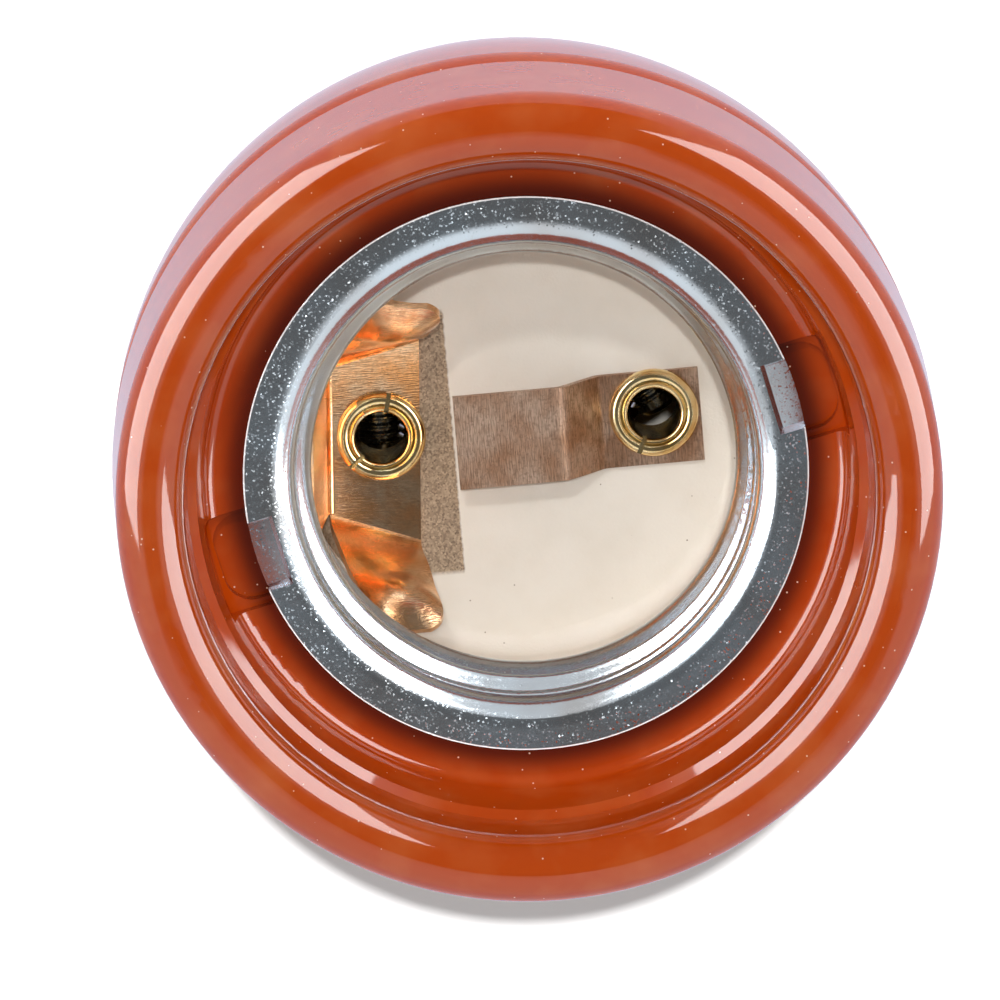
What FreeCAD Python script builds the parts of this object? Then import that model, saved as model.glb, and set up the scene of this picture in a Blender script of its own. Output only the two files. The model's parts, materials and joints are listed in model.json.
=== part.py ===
"""Porcelain lamp holder for E27 lamps.

Frame: millimetres. Z runs up the holder's axis, the lamp goes in from the top, and the flat back of
the rear cap stands on Z = 0. X runs from the side contact's eyelet to the centre contact's eyelet.
Every size is a cell of the sheet "dims", and each object of the document is bound to those cells by
expressions.
"""
import FreeCAD
import Part
import Sketcher
import math
import os

Vector = FreeCAD.Vector
Rotation = FreeCAD.Rotation

SIZES = {
    # Edison screw of the shell (E27): radii of the inner face, and the rolled sheet
    "thread_pitch": 3.629,
    "thread_crest": 12.32,
    "thread_root": 13.35,
    "shell_sheet": 0.3,
    "shell_depth": 5.8,
    "first_crest_depth": 1.1,
    "lip_bend": 1.1,
    "lip_straight": 0.25,
    "flange_radius": 16.3,
    "dent_start": 14.3,
    "dent_width": 5.0,
    "dent_depth": 0.65,
    # Porcelain body, from the flange down
    "floor_depth": 14.9,
    "web": 2.6,
    "skirt": 8.5,
    "bore": 14.0,
    "floor_cove": 1.2,
    "bore_chamfer": 0.6,
    "ledge_radius": 17.85,
    "ledge_cove": 0.7,
    "ridge_radius": 18.95,
    "ridge_rise": 3.6,
    "ridge_step": 0.5,
    "rim_tube": 1.95,
    "rim_rise": 6.75,
    "rim_radius": 23.5,
    "groove_radius": 23.85,
    "groove_start": 1.65,
    "groove_step": 0.3,
    "groove_depth": 1.15,
    "groove_floor": 0.95,
    "groove_shoulder": 2.15,
    "joint_radius": 21.0,
    "edge_round": 0.4,
    "skirt_radius": 17.5,
    "notch_angle": 12.2,
    "notch_width": 5.9,
    "notch_end": 18.8,
    "notch_depth": 0.85,
    "pocket_end": 18.5,
    "pocket_width": 5.2,
    "pocket_round": 1.6,
    "pocket_depth": 1.7,
    # Rear cap
    "cap_height": 22.0,
    "cap_floor": 8.0,
    "cap_wall": 3.0,
    "cap_shoulder_radius": 18.0,
    "cap_shoulder_height": 7.0,
    "cap_back_radius": 12.8,
    "cap_bow": 60.0,
    "cap_cove": 2.0,
    "lip_height": 0.8,
    "lip_width": 1.4,
    "joint_play": 0.3,
    "seam": 0.1,
    # Screws that hold the cap
    "cap_screw_angle": 90.0,
    "cap_screw_place": 14.2,
    "cap_screw_length": 18.0,
    "cap_screw_seat": 10.0,
    "boss_radius": 3.8,
    "counterbore_radius": 3.1,
    "screw_radius": 1.48,
    "screw_play": 0.05,
    "screw_hole": 1.75,
    "tip_chamfer": 0.5,
    "head_radius": 2.6,
    "head_height": 1.8,
    "head_round": 0.3,
    "slot_width": 0.7,
    "slot_depth": 0.9,
    "washer_height": 0.8,
    "washer_radius": 2.9,
    "washer_play": 0.15,
    "washer_split": 0.5,
    "nut_width": 5.5,
    "nut_height": 1.8,
    "nut_play": 0.15,
    "nut_ledge": 2.0,
    # Contacts and their eyelets
    "side_place": 8.2,
    "centre_place": 8.05,
    "contact_sheet": 0.45,
    "strip_width": 5.6,
    "strip_shift": -0.35,
    "strip_end": 10.85,
    "strip_low_fold": 4.75,
    "strip_high_fold": 2.45,
    "strip_tip": 3.8,
    "strip_rise": 2.45,
    "strip_bend": 0.6,
    "side_turn": -4.3,
    "plate_left": 3.15,
    "plate_right": 2.3,
    "plate_left_half": 4.35,
    "plate_right_half": 6.1,
    "plate_shift": -0.3,
    "plate_bend": 0.4,
    "leg_lean": 0.9,
    "wing_reach": 4.6,
    "wing_rise": 8.7,
    "wing_sweep": 1.95,
    "wing_tip_half": 1.95,
    "wing_dish": 0.75,
    "eyelet_bore": 1.55,
    "eyelet_shank": 2.0,
    "eyelet_head": 2.65,
    "eyelet_play": 0.05,
    "eyelet_height": 0.65,
    "eyelet_foot": 0.5,
    "eyelet_flare": 1.0,
    "eyelet_waist": 0.05,
    "eyelet_valley": 0.43,
    "eyelet_rim": 0.2,
    "bead_flat": 0.08,
    "split_width": 0.28,
    "split_inset": 0.4,
    "split_floor": 0.02,
    # Terminals behind the floor
    "clip_width": 6.4,
    "clip_gap": 6.0,
    "clip_wall": 1.0,
    "clip_height": 7.5,
    "clip_bend": 1.6,
    "clip_screw_drop": 4.2,
    "side_clip_turn": -5.0,
    "centre_clip_turn": 25.0,
    "clip_screw_length": 7.2,
    "side_screw_tip": -2.6,
    "centre_screw_tip": -1.4,
    # Cable entry
    "entry_bore": 4.5,
    "bush_radius": 6.5,
    "collar_radius": 8.5,
    "collar_height": 2.0,
    "bush_play": 0.2,
    "bush_chamfer": 0.5,
    "bush_inset": 0.15,
    "fibre_height": 0.5,
    "fibre_radius": 9.4,
    "recess_radius": 10.2,
    "recess_depth": 3.4,
    "entry_nut_width": 17.0,
    "entry_nut_height": 2.7,
}

# Heights that several pieces share, as expressions
JOINT = "dims.cap_height"
WEB_UNDERSIDE = "(dims.cap_height + dims.skirt)"
FLOOR = "(dims.cap_height + dims.skirt + dims.web)"
FLANGE = "(dims.cap_height + dims.skirt + dims.web + dims.floor_depth)"
LEDGE = f"({FLANGE} - dims.shell_sheet)"
PLATE_TOP = f"({FLOOR} + dims.contact_sheet)"

# How far a cutting tool runs past the faces that it cuts
PAST = "1"

XZ_PLANE = Rotation(Vector(1, 0, 0), 90)
YZ_PLANE = Rotation(Vector(1, 1, 1), 120)
XY_PLANE = Rotation()

doc = FreeCAD.newDocument("LampHolder")
dims = doc.addObject("Spreadsheet::Sheet", "dims")
for row, (alias, size) in enumerate(SIZES.items(), start=1):
    dims.set(f"A{row}", alias)
    dims.set(f"B{row}", str(size))
    dims.setAlias(f"B{row}", alias)
doc.recompute()


# ---------------------------------------------------------------- helpers

def value(expression):
    """The number that an expression on the sheet gives now."""
    return float(dims.evalExpression(str(expression)))


def new(kind, name, **expressions):
    """A document object whose properties are bound to expressions."""
    item = doc.addObject(kind, name)
    for prop, expression in expressions.items():
        item.setExpression(prop, str(expression))
    return item


def place(item, x="0", y="0", z="0", turn=None):
    """Binds an object's position, and its turn about Z in degrees."""
    for axis, expression in (("x", x), ("y", y), ("z", z)):
        item.setExpression(f"Placement.Base.{axis}", str(expression))
    if turn is not None:
        item.setExpression("Placement.Rotation.Axis.x", "0")
        item.setExpression("Placement.Rotation.Axis.y", "0")
        item.setExpression("Placement.Rotation.Axis.z", "1")
        item.setExpression("Placement.Rotation.Angle", str(turn))
    return item


def place_polar(item, radius, angle, z):
    """Puts an object at a radius and an angle about the axis, turned to face outward."""
    return place(item, f"{radius} * cos({angle})", f"{radius} * sin({angle})", z, angle)


def box(name, length, width, height):
    return new("Part::Box", name, Length=length, Width=width, Height=height)


def cylinder(name, radius, height):
    return new("Part::Cylinder", name, Radius=radius, Height=height)


def cylinder_along_y(name, radius, length, start, z="0"):
    rod = cylinder(name, radius, length)
    rod.Placement.Rotation = Rotation(Vector(1, 0, 0), -90)
    return place(rod, "0", start, z)


def cut(name, base, *tools):
    tool = tools[0] if len(tools) == 1 else fuse(name + "_tools", *tools)
    result = doc.addObject("Part::Cut", name)
    result.Base = base
    result.Tool = tool
    return result


def fuse(name, *shapes):
    result = doc.addObject("Part::MultiFuse", name)
    result.Shapes = list(shapes)
    return result


def compound(name, *items):
    """A group with a placement of its own, so that what is in it can be turned again."""
    group = doc.addObject("Part::Compound", name)
    group.Links = list(items)
    return group


def common(name, base, tool):
    result = doc.addObject("Part::Common", name)
    result.Base = base
    result.Tool = tool
    return result


def outline(name, corners, plane):
    """A closed sketch. A corner is (x, y), or (x, y, radius, side) where an arc ends there.

    side is 1 for an arc that turns left and -1 for one that turns right, seen along the outline.
    """
    sketch = doc.addObject("Sketcher::SketchObject", name)
    sketch.Placement = FreeCAD.Placement(Vector(), plane)
    points = [Vector(value(corner[0]), value(corner[1]), 0) for corner in corners]
    radii = {}
    for index, start in enumerate(points):
        following = (index + 1) % len(points)
        end = points[following]
        if len(corners[following]) == 2:
            sketch.addGeometry(Part.LineSegment(start, end))
            continue
        radius, side = corners[following][2:]
        size = value(radius)
        chord = end - start
        to_left = Vector(-chord.y, chord.x, 0).normalize() * side
        reach = math.sqrt(max(size ** 2 - (chord.Length / 2) ** 2, 0))
        centre = (start + end) * 0.5 + to_left * reach
        halfway = centre - to_left * size
        sketch.addGeometry(Part.Arc(start, halfway, end))
        radii[index] = radius
    for index, corner in enumerate(corners):
        arc_turns_right = index in radii and corners[(index + 1) % len(corners)][3] < 0
        start_end = 2 if arc_turns_right else 1
        before = (index - 1) % len(corners)
        arc_before_right = before in radii and corner[3] < 0
        end_of_before = 1 if arc_before_right else 2
        sketch.addConstraint(Sketcher.Constraint("Coincident", before, end_of_before, index, start_end))
        for direction, expression in (("DistanceX", corner[0]), ("DistanceY", corner[1])):
            if str(expression) == "0":
                axis = -2 if direction == "DistanceX" else -1
                sketch.addConstraint(Sketcher.Constraint("PointOnObject", index, start_end, axis))
                continue
            size = value(expression)
            number = sketch.addConstraint(
                Sketcher.Constraint(direction, -1, 1, index, start_end, size))
            sketch.setExpression(f"Constraints[{number}]", str(expression))
    for index, radius in radii.items():
        number = sketch.addConstraint(Sketcher.Constraint("Radius", index, value(radius)))
        sketch.setExpression(f"Constraints[{number}]", str(radius))
    return sketch


def revolve(name, corners):
    """A solid turned about Z from an outline of (radius, height) corners."""
    sketch = outline(name + "_outline", corners, XZ_PLANE)
    turned = doc.addObject("Part::Revolution", name)
    turned.Source = sketch
    turned.Axis = Vector(0, 0, 1)
    turned.Base = Vector(0, 0, 0)
    turned.Angle = 360
    turned.Solid = True
    return turned


def extrude(name, corners, plane, length, symmetric=False):
    """A solid drawn out from an outline, along the normal of its plane."""
    sketch = outline(name + "_outline", corners, plane)
    drawn = doc.addObject("Part::Extrusion", name)
    drawn.Base = sketch
    drawn.DirMode = "Normal"
    drawn.Solid = True
    drawn.Symmetric = symmetric
    drawn.setExpression("LengthFwd", str(length))
    return drawn


def tangent_radius(depth, run):
    """Radius of an arc that leaves a wall tangentially and is off it by depth after run."""
    return f"(({depth}) ^ 2 + ({run}) ^ 2) / (2 * ({depth}))"


def ring(name, inner, outer, bottom, height):
    return revolve(name, [
        (inner, bottom),
        (outer, bottom),
        (outer, f"{bottom} + {height}"),
        (inner, f"{bottom} + {height}"),
    ])


nodes = {}


def node(name, item):
    """Names a finished piece of the holder."""
    item.Label = name
    nodes[name] = item
    return item


# ---------------------------------------------------------------- screw shell

def thread_radius(depth, angle):
    """Radius of the shell's inner face below the lip: a right-hand wave of the Edison screw."""
    pitch = value("dims.thread_pitch")
    root = value("dims.thread_root")
    height = root - value("dims.thread_crest")
    start = value("dims.lip_bend + dims.lip_straight / 2")
    turns = (depth - value("dims.first_crest_depth")) / pitch + angle / (2 * math.pi)
    wave = (1 + math.cos(2 * math.pi * turns)) / 2
    blend = min(max((depth - start) / (pitch / 4), 0), 1)
    return root - height * wave * blend * blend * (3 - 2 * blend)


def thread_plug(offset, top, bottom):
    """A solid plug whose side is the thread's face, moved outward by offset."""
    rows = 17
    spokes = 28
    level = value(FLANGE)
    wires = []
    for row in range(rows):
        depth = top + (bottom - top) * row / (rows - 1)
        points = []
        for spoke in range(spokes):
            angle = 2 * math.pi * spoke / spokes
            radius = thread_radius(depth, angle) + offset
            points.append(Vector(radius * math.cos(angle), radius * math.sin(angle), level - depth))
        curve = Part.BSplineCurve()
        curve.interpolate(points, PeriodicFlag=True)
        wires.append(Part.Wire(curve.toShape()))
    return Part.makeLoft(wires, True)


def rolled_wall():
    """The threaded wall: it starts inside the lip's straight end and stops at the lower edge."""
    sheet = value("dims.shell_sheet")
    inset = sheet / 8
    top = value("dims.lip_bend + dims.lip_straight / 2")
    bottom = value("dims.shell_depth")
    outer = thread_plug(sheet - inset, top, bottom)
    inner = thread_plug(inset, top, bottom)
    return outer.cut(inner)


def screw_shell():
    lip = revolve("shell_lip", [
        ("dims.flange_radius", FLANGE),
        ("dims.thread_root + dims.lip_bend", FLANGE),
        ("dims.thread_root", f"{FLANGE} - dims.lip_bend", "dims.lip_bend", 1),
        ("dims.thread_root", f"{FLANGE} - dims.lip_bend - dims.lip_straight"),
        ("dims.thread_root + dims.shell_sheet", f"{FLANGE} - dims.lip_bend - dims.lip_straight"),
        ("dims.thread_root + dims.shell_sheet", f"{FLANGE} - dims.lip_bend"),
        ("dims.thread_root + dims.lip_bend", LEDGE, "dims.lip_bend - dims.shell_sheet", -1),
        ("dims.flange_radius", LEDGE),
    ])
    wall = doc.addObject("Part::Feature", "shell_wall")
    wall.Shape = rolled_wall()
    hollows = []
    pans = []
    for side in (0, 180):
        angle = f"(dims.notch_angle + {side})"
        hollows.append(dent(f"dent_hollow_{side}", angle, "dims.dent_width / 2", PAST, "0"))
        pans.append(dent(f"dent_pan_{side}", angle, "dims.dent_width / 2 + dims.shell_sheet", "0",
                         "dims.shell_sheet"))
    disc = cylinder("flange_disc", "dims.flange_radius", "2 * (dims.dent_depth + dims.shell_sheet)")
    place(disc, z=f"{FLANGE} - dims.dent_depth - dims.shell_sheet")
    pressed = common("dent_pans", fuse("dent_pan_pair", *pans), disc)
    return cut("screw_shell", fuse("shell_sheet_metal", lip, wall, pressed), *hollows)


def dent(name, angle, half_width, above, extra):
    """A tapered block in the flange: the hollow of a dent, or the block that its pan is cut from."""
    block = new(
        "Part::Wedge", name + "_block",
        Ymin=f"-dims.dent_depth - {extra}", Ymax=above,
        Xmin=f"dims.dent_start + dims.dent_depth - {extra}", Xmax=f"dims.flange_radius + {PAST}",
        X2min=f"dims.dent_start - {extra}", X2max=f"dims.flange_radius + {PAST}",
        Zmin=f"-({half_width}) + dims.dent_depth", Zmax=f"({half_width}) - dims.dent_depth",
        Z2min=f"-({half_width})", Z2max=f"({half_width})",
    )
    block.Placement.Rotation = Rotation(Vector(1, 0, 0), 90)
    return place(compound(name, block), z=FLANGE, turn=angle)


# ---------------------------------------------------------------- porcelain body

def body_outline():
    rear_run = "dims.web + dims.skirt - dims.lip_height - dims.edge_round + dims.floor_depth"
    rear_run += " - dims.groove_start - dims.groove_step - dims.groove_floor - dims.groove_shoulder"
    groove_top = f"{FLANGE} - dims.groove_start"
    groove_low = f"{groove_top} - dims.groove_step - dims.groove_floor"
    shoulder = tangent_radius("dims.groove_depth", "dims.groove_shoulder")
    barrel = tangent_radius("dims.groove_radius - dims.joint_radius", rear_run)
    rim_centre = "dims.rim_radius - dims.rim_tube"
    rebate = "dims.joint_radius - dims.lip_width - dims.joint_play"
    return [
        ("0", FLOOR),
        ("dims.bore - dims.floor_cove", FLOOR),
        ("dims.bore", f"{FLOOR} + dims.floor_cove", "dims.floor_cove", 1),
        ("dims.bore", f"{LEDGE} - dims.bore_chamfer"),
        ("dims.bore + dims.bore_chamfer", LEDGE),
        ("dims.ledge_radius", LEDGE),
        ("dims.ledge_radius + dims.ledge_cove", f"{LEDGE} + dims.ledge_cove", "dims.ledge_cove", 1),
        ("dims.ridge_radius", f"{FLANGE} + dims.ridge_rise"),
        ("dims.ridge_radius + dims.ridge_step", f"{FLANGE} + dims.ridge_rise + dims.ridge_step"),
        ("dims.rim_radius - 2 * dims.rim_tube", f"{FLANGE} + dims.rim_rise"),
        (rim_centre, f"{FLANGE} + dims.rim_rise + dims.rim_tube", "dims.rim_tube", -1),
        ("dims.rim_radius", f"{FLANGE} + dims.rim_rise", "dims.rim_tube", -1),
        ("dims.groove_radius", groove_top),
        ("dims.groove_radius - dims.groove_depth", f"{groove_top} - dims.groove_step"),
        ("dims.groove_radius - dims.groove_depth", groove_low),
        ("dims.groove_radius", f"{groove_low} - dims.groove_shoulder", shoulder, -1),
        ("dims.joint_radius", f"{JOINT} + dims.lip_height + dims.edge_round", barrel, -1),
        ("dims.joint_radius - dims.edge_round", f"{JOINT} + dims.lip_height", "dims.edge_round", -1),
        (rebate, f"{JOINT} + dims.lip_height"),
        (rebate, JOINT),
        ("dims.skirt_radius", JOINT),
        ("dims.skirt_radius", WEB_UNDERSIDE),
        ("0", WEB_UNDERSIDE),
    ]


def holder_body():
    solid = revolve("body_revolve", body_outline())
    bosses = []
    hollows = []
    for side in (0, 180):
        angle = f"(dims.cap_screw_angle + {side})"
        boss = cylinder(f"body_boss_{side}", "dims.boss_radius", f"dims.skirt + {PAST}")
        bosses.append(place_polar(boss, "dims.cap_screw_place", angle, JOINT))
        drill = cylinder(f"body_drill_{side}", "dims.screw_hole",
                         f"dims.cap_screw_length + dims.cap_screw_seat + {PAST} - dims.cap_height")
        hollows.append(place_polar(drill, "dims.cap_screw_place", angle, JOINT))
        hollows.append(nut_slot(side, angle))
        notch_angle = f"(dims.notch_angle + {side})"
        hollows += notch(side, notch_angle)
    for name, x in (("side", "-dims.side_place"), ("centre", "dims.centre_place")):
        hole = cylinder(f"{name}_eyelet_hole", "dims.eyelet_shank + dims.eyelet_play",
                        f"dims.web + 2 * {PAST}")
        hollows.append(place(hole, x=x, z=f"{WEB_UNDERSIDE} - {PAST}"))
    return cut("holder_body", fuse("body_with_bosses", solid, *bosses), *hollows)


def nut_slot(side, angle):
    """Slot in a boss, open towards the axis, that holds a square nut against turning."""
    slot = box(f"nut_slot_{side}", "dims.boss_radius + dims.nut_width / 2 + dims.nut_play",
               "dims.nut_width + 2 * dims.nut_play", "dims.nut_height + 2 * dims.nut_play")
    place(slot, x="-dims.boss_radius", y="-dims.nut_width / 2 - dims.nut_play")
    turned = compound(f"nut_slot_turned_{side}", slot)
    return place_polar(turned, "dims.cap_screw_place", angle, f"{JOINT} + dims.nut_ledge")


def round_far_corners(name, base, radius):
    """Fillets the two upright edges at the far end (+X) of a block."""
    far = base.Shape.BoundBox.XMax
    chosen = []
    for number, edge in enumerate(base.Shape.Edges, start=1):
        first, last = (vertex.Point for vertex in edge.Vertexes)
        upright = abs(first.x - last.x) < 1e-4 and abs(first.y - last.y) < 1e-4
        if upright and abs(first.x - far) < 1e-4:
            chosen.append((number, value(radius), value(radius)))
    rounded = doc.addObject("Part::Fillet", name)
    rounded.Base = base
    rounded.Edges = chosen
    return rounded


def notch(side, angle):
    """Slot across the ledge for a dent of the flange, and the round-ended pocket in it."""
    slot = box(f"notch_{side}", f"dims.notch_end - dims.bore + {PAST}", "dims.notch_width",
               f"dims.notch_depth + 2 * {PAST}")
    place(slot, x=f"dims.bore - {PAST}", y="-dims.notch_width / 2")
    pocket = box(f"pocket_{side}", f"dims.pocket_end - dims.bore + {PAST}", "dims.pocket_width",
                 f"dims.pocket_depth + {PAST}")
    place(pocket, x=f"dims.bore - {PAST}", y="-dims.pocket_width / 2")
    doc.recompute()
    rounded = round_far_corners(f"pocket_rounded_{side}", pocket, "dims.pocket_round")
    return [
        place(compound(f"notch_turned_{side}", slot), z=f"{LEDGE} - dims.notch_depth", turn=angle),
        place(compound(f"pocket_turned_{side}", rounded), z=f"{LEDGE} - dims.pocket_depth", turn=angle),
    ]


# ---------------------------------------------------------------- rear cap and its screws

def cap_outline():
    lip_top = f"{JOINT} + dims.lip_height - dims.seam"
    inner_rim = "dims.joint_radius - dims.cap_wall"
    inner_floor = "dims.cap_shoulder_radius - dims.cap_wall"
    shoulder = tangent_radius("dims.cap_shoulder_radius - dims.cap_back_radius",
                              "dims.cap_shoulder_height")
    return [
        ("dims.bush_radius + dims.bush_play", "dims.recess_depth"),
        ("dims.recess_radius", "dims.recess_depth"),
        ("dims.recess_radius", "0"),
        ("dims.cap_back_radius", "0"),
        ("dims.cap_shoulder_radius", "dims.cap_shoulder_height", shoulder, 1),
        ("dims.joint_radius", f"{lip_top} - dims.edge_round", "dims.cap_bow", 1),
        ("dims.joint_radius - dims.edge_round", lip_top, "dims.edge_round", 1),
        ("dims.joint_radius - dims.lip_width", lip_top),
        ("dims.joint_radius - dims.lip_width", JOINT),
        (inner_rim, JOINT),
        (inner_floor, "dims.cap_floor + dims.cap_cove", "dims.cap_bow", -1),
        (f"{inner_floor} - dims.cap_cove", "dims.cap_floor", "dims.cap_cove", -1),
        ("dims.bush_radius + dims.bush_play", "dims.cap_floor"),
    ]


def rear_cap():
    solid = revolve("cap_revolve", cap_outline())
    bosses = []
    hollows = []
    for side in (0, 180):
        angle = f"(dims.cap_screw_angle + {side})"
        boss = cylinder(f"cap_boss_{side}", "dims.boss_radius", f"{JOINT} - dims.cap_floor + {PAST}")
        bosses.append(place_polar(boss, "dims.cap_screw_place", angle, f"dims.cap_floor - {PAST}"))
        drill = cylinder(f"cap_drill_{side}", "dims.screw_hole", "dims.cap_height")
        hollows.append(place_polar(drill, "dims.cap_screw_place", angle, f"dims.cap_screw_seat - {PAST}"))
        counterbore = cylinder(f"counterbore_{side}", "dims.counterbore_radius",
                               f"dims.cap_screw_seat + {PAST}")
        hollows.append(place_polar(counterbore, "dims.cap_screw_place", angle, f"-{PAST}"))
    return cut("rear_cap", fuse("cap_with_bosses", solid, *bosses), *hollows)


def slotted_head(underside):
    """A cheese head below an underside, opening downward with its slot."""
    bottom = f"({underside} - dims.head_height)"
    return [
        ("0", bottom),
        ("dims.head_radius - dims.head_round", bottom),
        ("dims.head_radius", f"{bottom} + dims.head_round", "dims.head_round", 1),
        ("dims.head_radius", underside),
    ]


def cap_screw(number, side):
    underside = "(dims.cap_screw_seat - dims.washer_height)"
    tip = f"({underside} + dims.cap_screw_length)"
    turned = revolve(f"cap_screw_turned_{number}", slotted_head(underside) + [
        ("dims.screw_radius", underside),
        ("dims.screw_radius", f"{tip} - dims.tip_chamfer"),
        ("dims.screw_radius - dims.tip_chamfer", tip),
        ("0", tip),
    ])
    slot = box(f"cap_screw_slot_{number}", f"2 * (dims.head_radius + {PAST})", "dims.slot_width",
               f"dims.slot_depth + {PAST}")
    place(slot, x=f"-(dims.head_radius + {PAST})", y="-dims.slot_width / 2",
          z=f"{underside} - dims.head_height - {PAST}")
    screw = cut(f"cap_screw_{number}", turned, slot)
    return place_polar(screw, "dims.cap_screw_place", f"(dims.cap_screw_angle + {side})", "0")


def cap_washer(number, side):
    """Spring washer: a ring split at one place, clamped flat."""
    base = "(dims.cap_screw_seat - dims.washer_height)"
    flat = ring(f"cap_washer_ring_{number}", "dims.screw_radius + dims.washer_play",
                "dims.washer_radius", base, "dims.washer_height")
    gap = box(f"cap_washer_gap_{number}", "2 * dims.washer_radius", "dims.washer_split",
              f"dims.washer_height + 2 * {PAST}")
    place(gap, y="-dims.washer_split / 2", z=f"{base} - {PAST}")
    washer = cut(f"cap_washer_{number}", flat, gap)
    return place_polar(washer, "dims.cap_screw_place", f"(dims.cap_screw_angle + {side})", "0")


def cap_nut(number, side):
    base = f"{JOINT} + dims.nut_ledge"
    block = box(f"cap_nut_block_{number}", "dims.nut_width", "dims.nut_width", "dims.nut_height")
    place(block, x="-dims.nut_width / 2", y="-dims.nut_width / 2", z=base)
    thread = cylinder(f"cap_nut_thread_{number}", "dims.screw_radius + dims.screw_play",
                      f"dims.nut_height + 2 * {PAST}")
    place(thread, z=f"{base} - {PAST}")
    nut = cut(f"cap_nut_{number}", block, thread)
    return place_polar(nut, "dims.cap_screw_place", f"(dims.cap_screw_angle + {side})", "0")


# ---------------------------------------------------------------- contacts and eyelets

def centre_contact():
    """The strip: a riveted pad, a slanted riser and the raised tongue on the axis."""
    top = f"({FLOOR} + dims.strip_rise)"
    slope = "atan(dims.strip_rise / (dims.strip_low_fold - dims.strip_high_fold))"
    slant = f"dims.contact_sheet * tan({slope} / 2)"
    strip = extrude("strip_sheet", [
        ("-dims.strip_tip", top),
        ("dims.strip_high_fold", top),
        ("dims.strip_low_fold", FLOOR),
        ("dims.strip_end", FLOOR),
        ("dims.strip_end", PLATE_TOP),
        (f"dims.strip_low_fold + {slant}", PLATE_TOP),
        (f"dims.strip_high_fold + {slant}", f"{top} + dims.contact_sheet"),
        ("-dims.strip_tip", f"{top} + dims.contact_sheet"),
    ], XZ_PLANE, "dims.strip_width", symmetric=True)
    doc.recompute()
    bends = {
        (value("dims.strip_high_fold"), value(top)): "dims.strip_bend",
        (value("dims.strip_low_fold"), value(FLOOR)): "dims.strip_bend + dims.contact_sheet",
        (value(f"dims.strip_low_fold + {slant}"), value(PLATE_TOP)): "dims.strip_bend",
        (value(f"dims.strip_high_fold + {slant}"), value(f"{top} + dims.contact_sheet")):
            "dims.strip_bend + dims.contact_sheet",
    }
    bent = place(round_folds("strip_bent", strip, bends), y="dims.strip_shift")
    hole = cylinder("strip_hole", "dims.eyelet_shank + dims.eyelet_play",
                    f"dims.contact_sheet + 2 * {PAST}")
    place(hole, x="dims.centre_place", z=f"{FLOOR} - {PAST}")
    return cut("centre_contact", bent, hole)


def round_folds(name, base, folds):
    """Fillets the edges along Y that pass through the given (x, z) places."""
    chosen = []
    for number, edge in enumerate(base.Shape.Edges, start=1):
        first, last = (vertex.Point for vertex in edge.Vertexes)
        if abs(first.x - last.x) > 1e-4 or abs(first.z - last.z) > 1e-4:
            continue
        for (x, z), radius in folds.items():
            if abs(first.x - x) < 1e-3 and abs(first.z - z) < 1e-3:
                chosen.append((number, value(radius), value(radius)))
    rounded = doc.addObject("Part::Fillet", name)
    rounded.Base = base
    rounded.Edges = chosen
    return rounded


# The wing from its root inside the plate to its tip. Each station gives, as shares, how far out and
# how far up it lies, its lean in degrees, and its share of the width, of the sheet's thickness and
# of the dish.
WING_STATIONS = (
    (-0.12, 0.0, 2, 1.0, 0.85, 0.02),
    (0.09, 0.03, 40, 1.0, 1.0, 0.02),
    (0.19, 0.15, 68, 1.0, 1.0, 0.05),
    (0.48, 0.56, 72, 1.0, 1.0, 0.35),
    (0.66, 0.78, 66, 1.0, 1.0, 1.0),
    (0.88, 0.94, 46, 0.98, 1.0, 0.45),
    (1.0, 1.0, 42, 0.6, 1.0, 0.15),
)
WING_CURL = 1.3
WING_TWIST = 1.4


def wing_section(middle, half, chord_angle, tilt, sheet, dish):
    """A thin curved section across a wing: its sheet leans out at tilt and bulges inward by dish."""
    across = Vector(math.cos(chord_angle), math.sin(chord_angle), 0)
    outward = Vector(-across.y, across.x, 0)
    inward_normal = outward * -math.sin(tilt) + Vector(0, 0, math.cos(tilt))
    skin = inward_normal * (sheet / 2)
    left, right = middle - across * half, middle + across * half
    crest = middle + inward_normal * dish
    inner = Part.Arc(left + skin, crest + skin, right + skin).toShape()
    outer = Part.Arc(right - skin, crest - skin, left - skin).toShape()
    return Part.Wire([
        inner,
        Part.LineSegment(right + skin, right - skin).toShape(),
        outer,
        Part.LineSegment(left - skin, left + skin).toShape(),
    ])


def wing_shape():
    """The sprung wing on the plate's far side (+Y), from its fold up to the dished tip."""
    left = value("dims.plate_left")
    right = value("dims.plate_right")
    low_half = value("dims.plate_left_half")
    high_half = value("dims.plate_right_half")
    sheet = value("dims.contact_sheet")
    reach = value("dims.wing_reach")
    rise = value("dims.wing_rise")
    tip_half = value("dims.wing_tip_half")
    dish = value("dims.wing_dish")
    fold_angle = math.atan2(high_half - low_half, left + right)
    fold_half = math.hypot(high_half - low_half, left + right) / 2
    fold_middle = Vector((right - left) / 2, (low_half + high_half) / 2, sheet / 2)
    tip_offset = Vector(value("dims.wing_sweep"), reach, rise - sheet)
    sections = []
    for out, up, lean, width, thickness, dished in WING_STATIONS:
        along = max(out, 0)
        offset = Vector(tip_offset.x * up ** WING_CURL, tip_offset.y * out, tip_offset.z * up)
        half = (fold_half + (tip_half - fold_half) * along) * width
        chord_angle = fold_angle * (1 - WING_TWIST * along)
        sections.append(wing_section(fold_middle + offset, half, chord_angle, math.radians(lean),
                                     sheet * thickness, dish * dished))
    return Part.makeLoft(sections, True)


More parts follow.
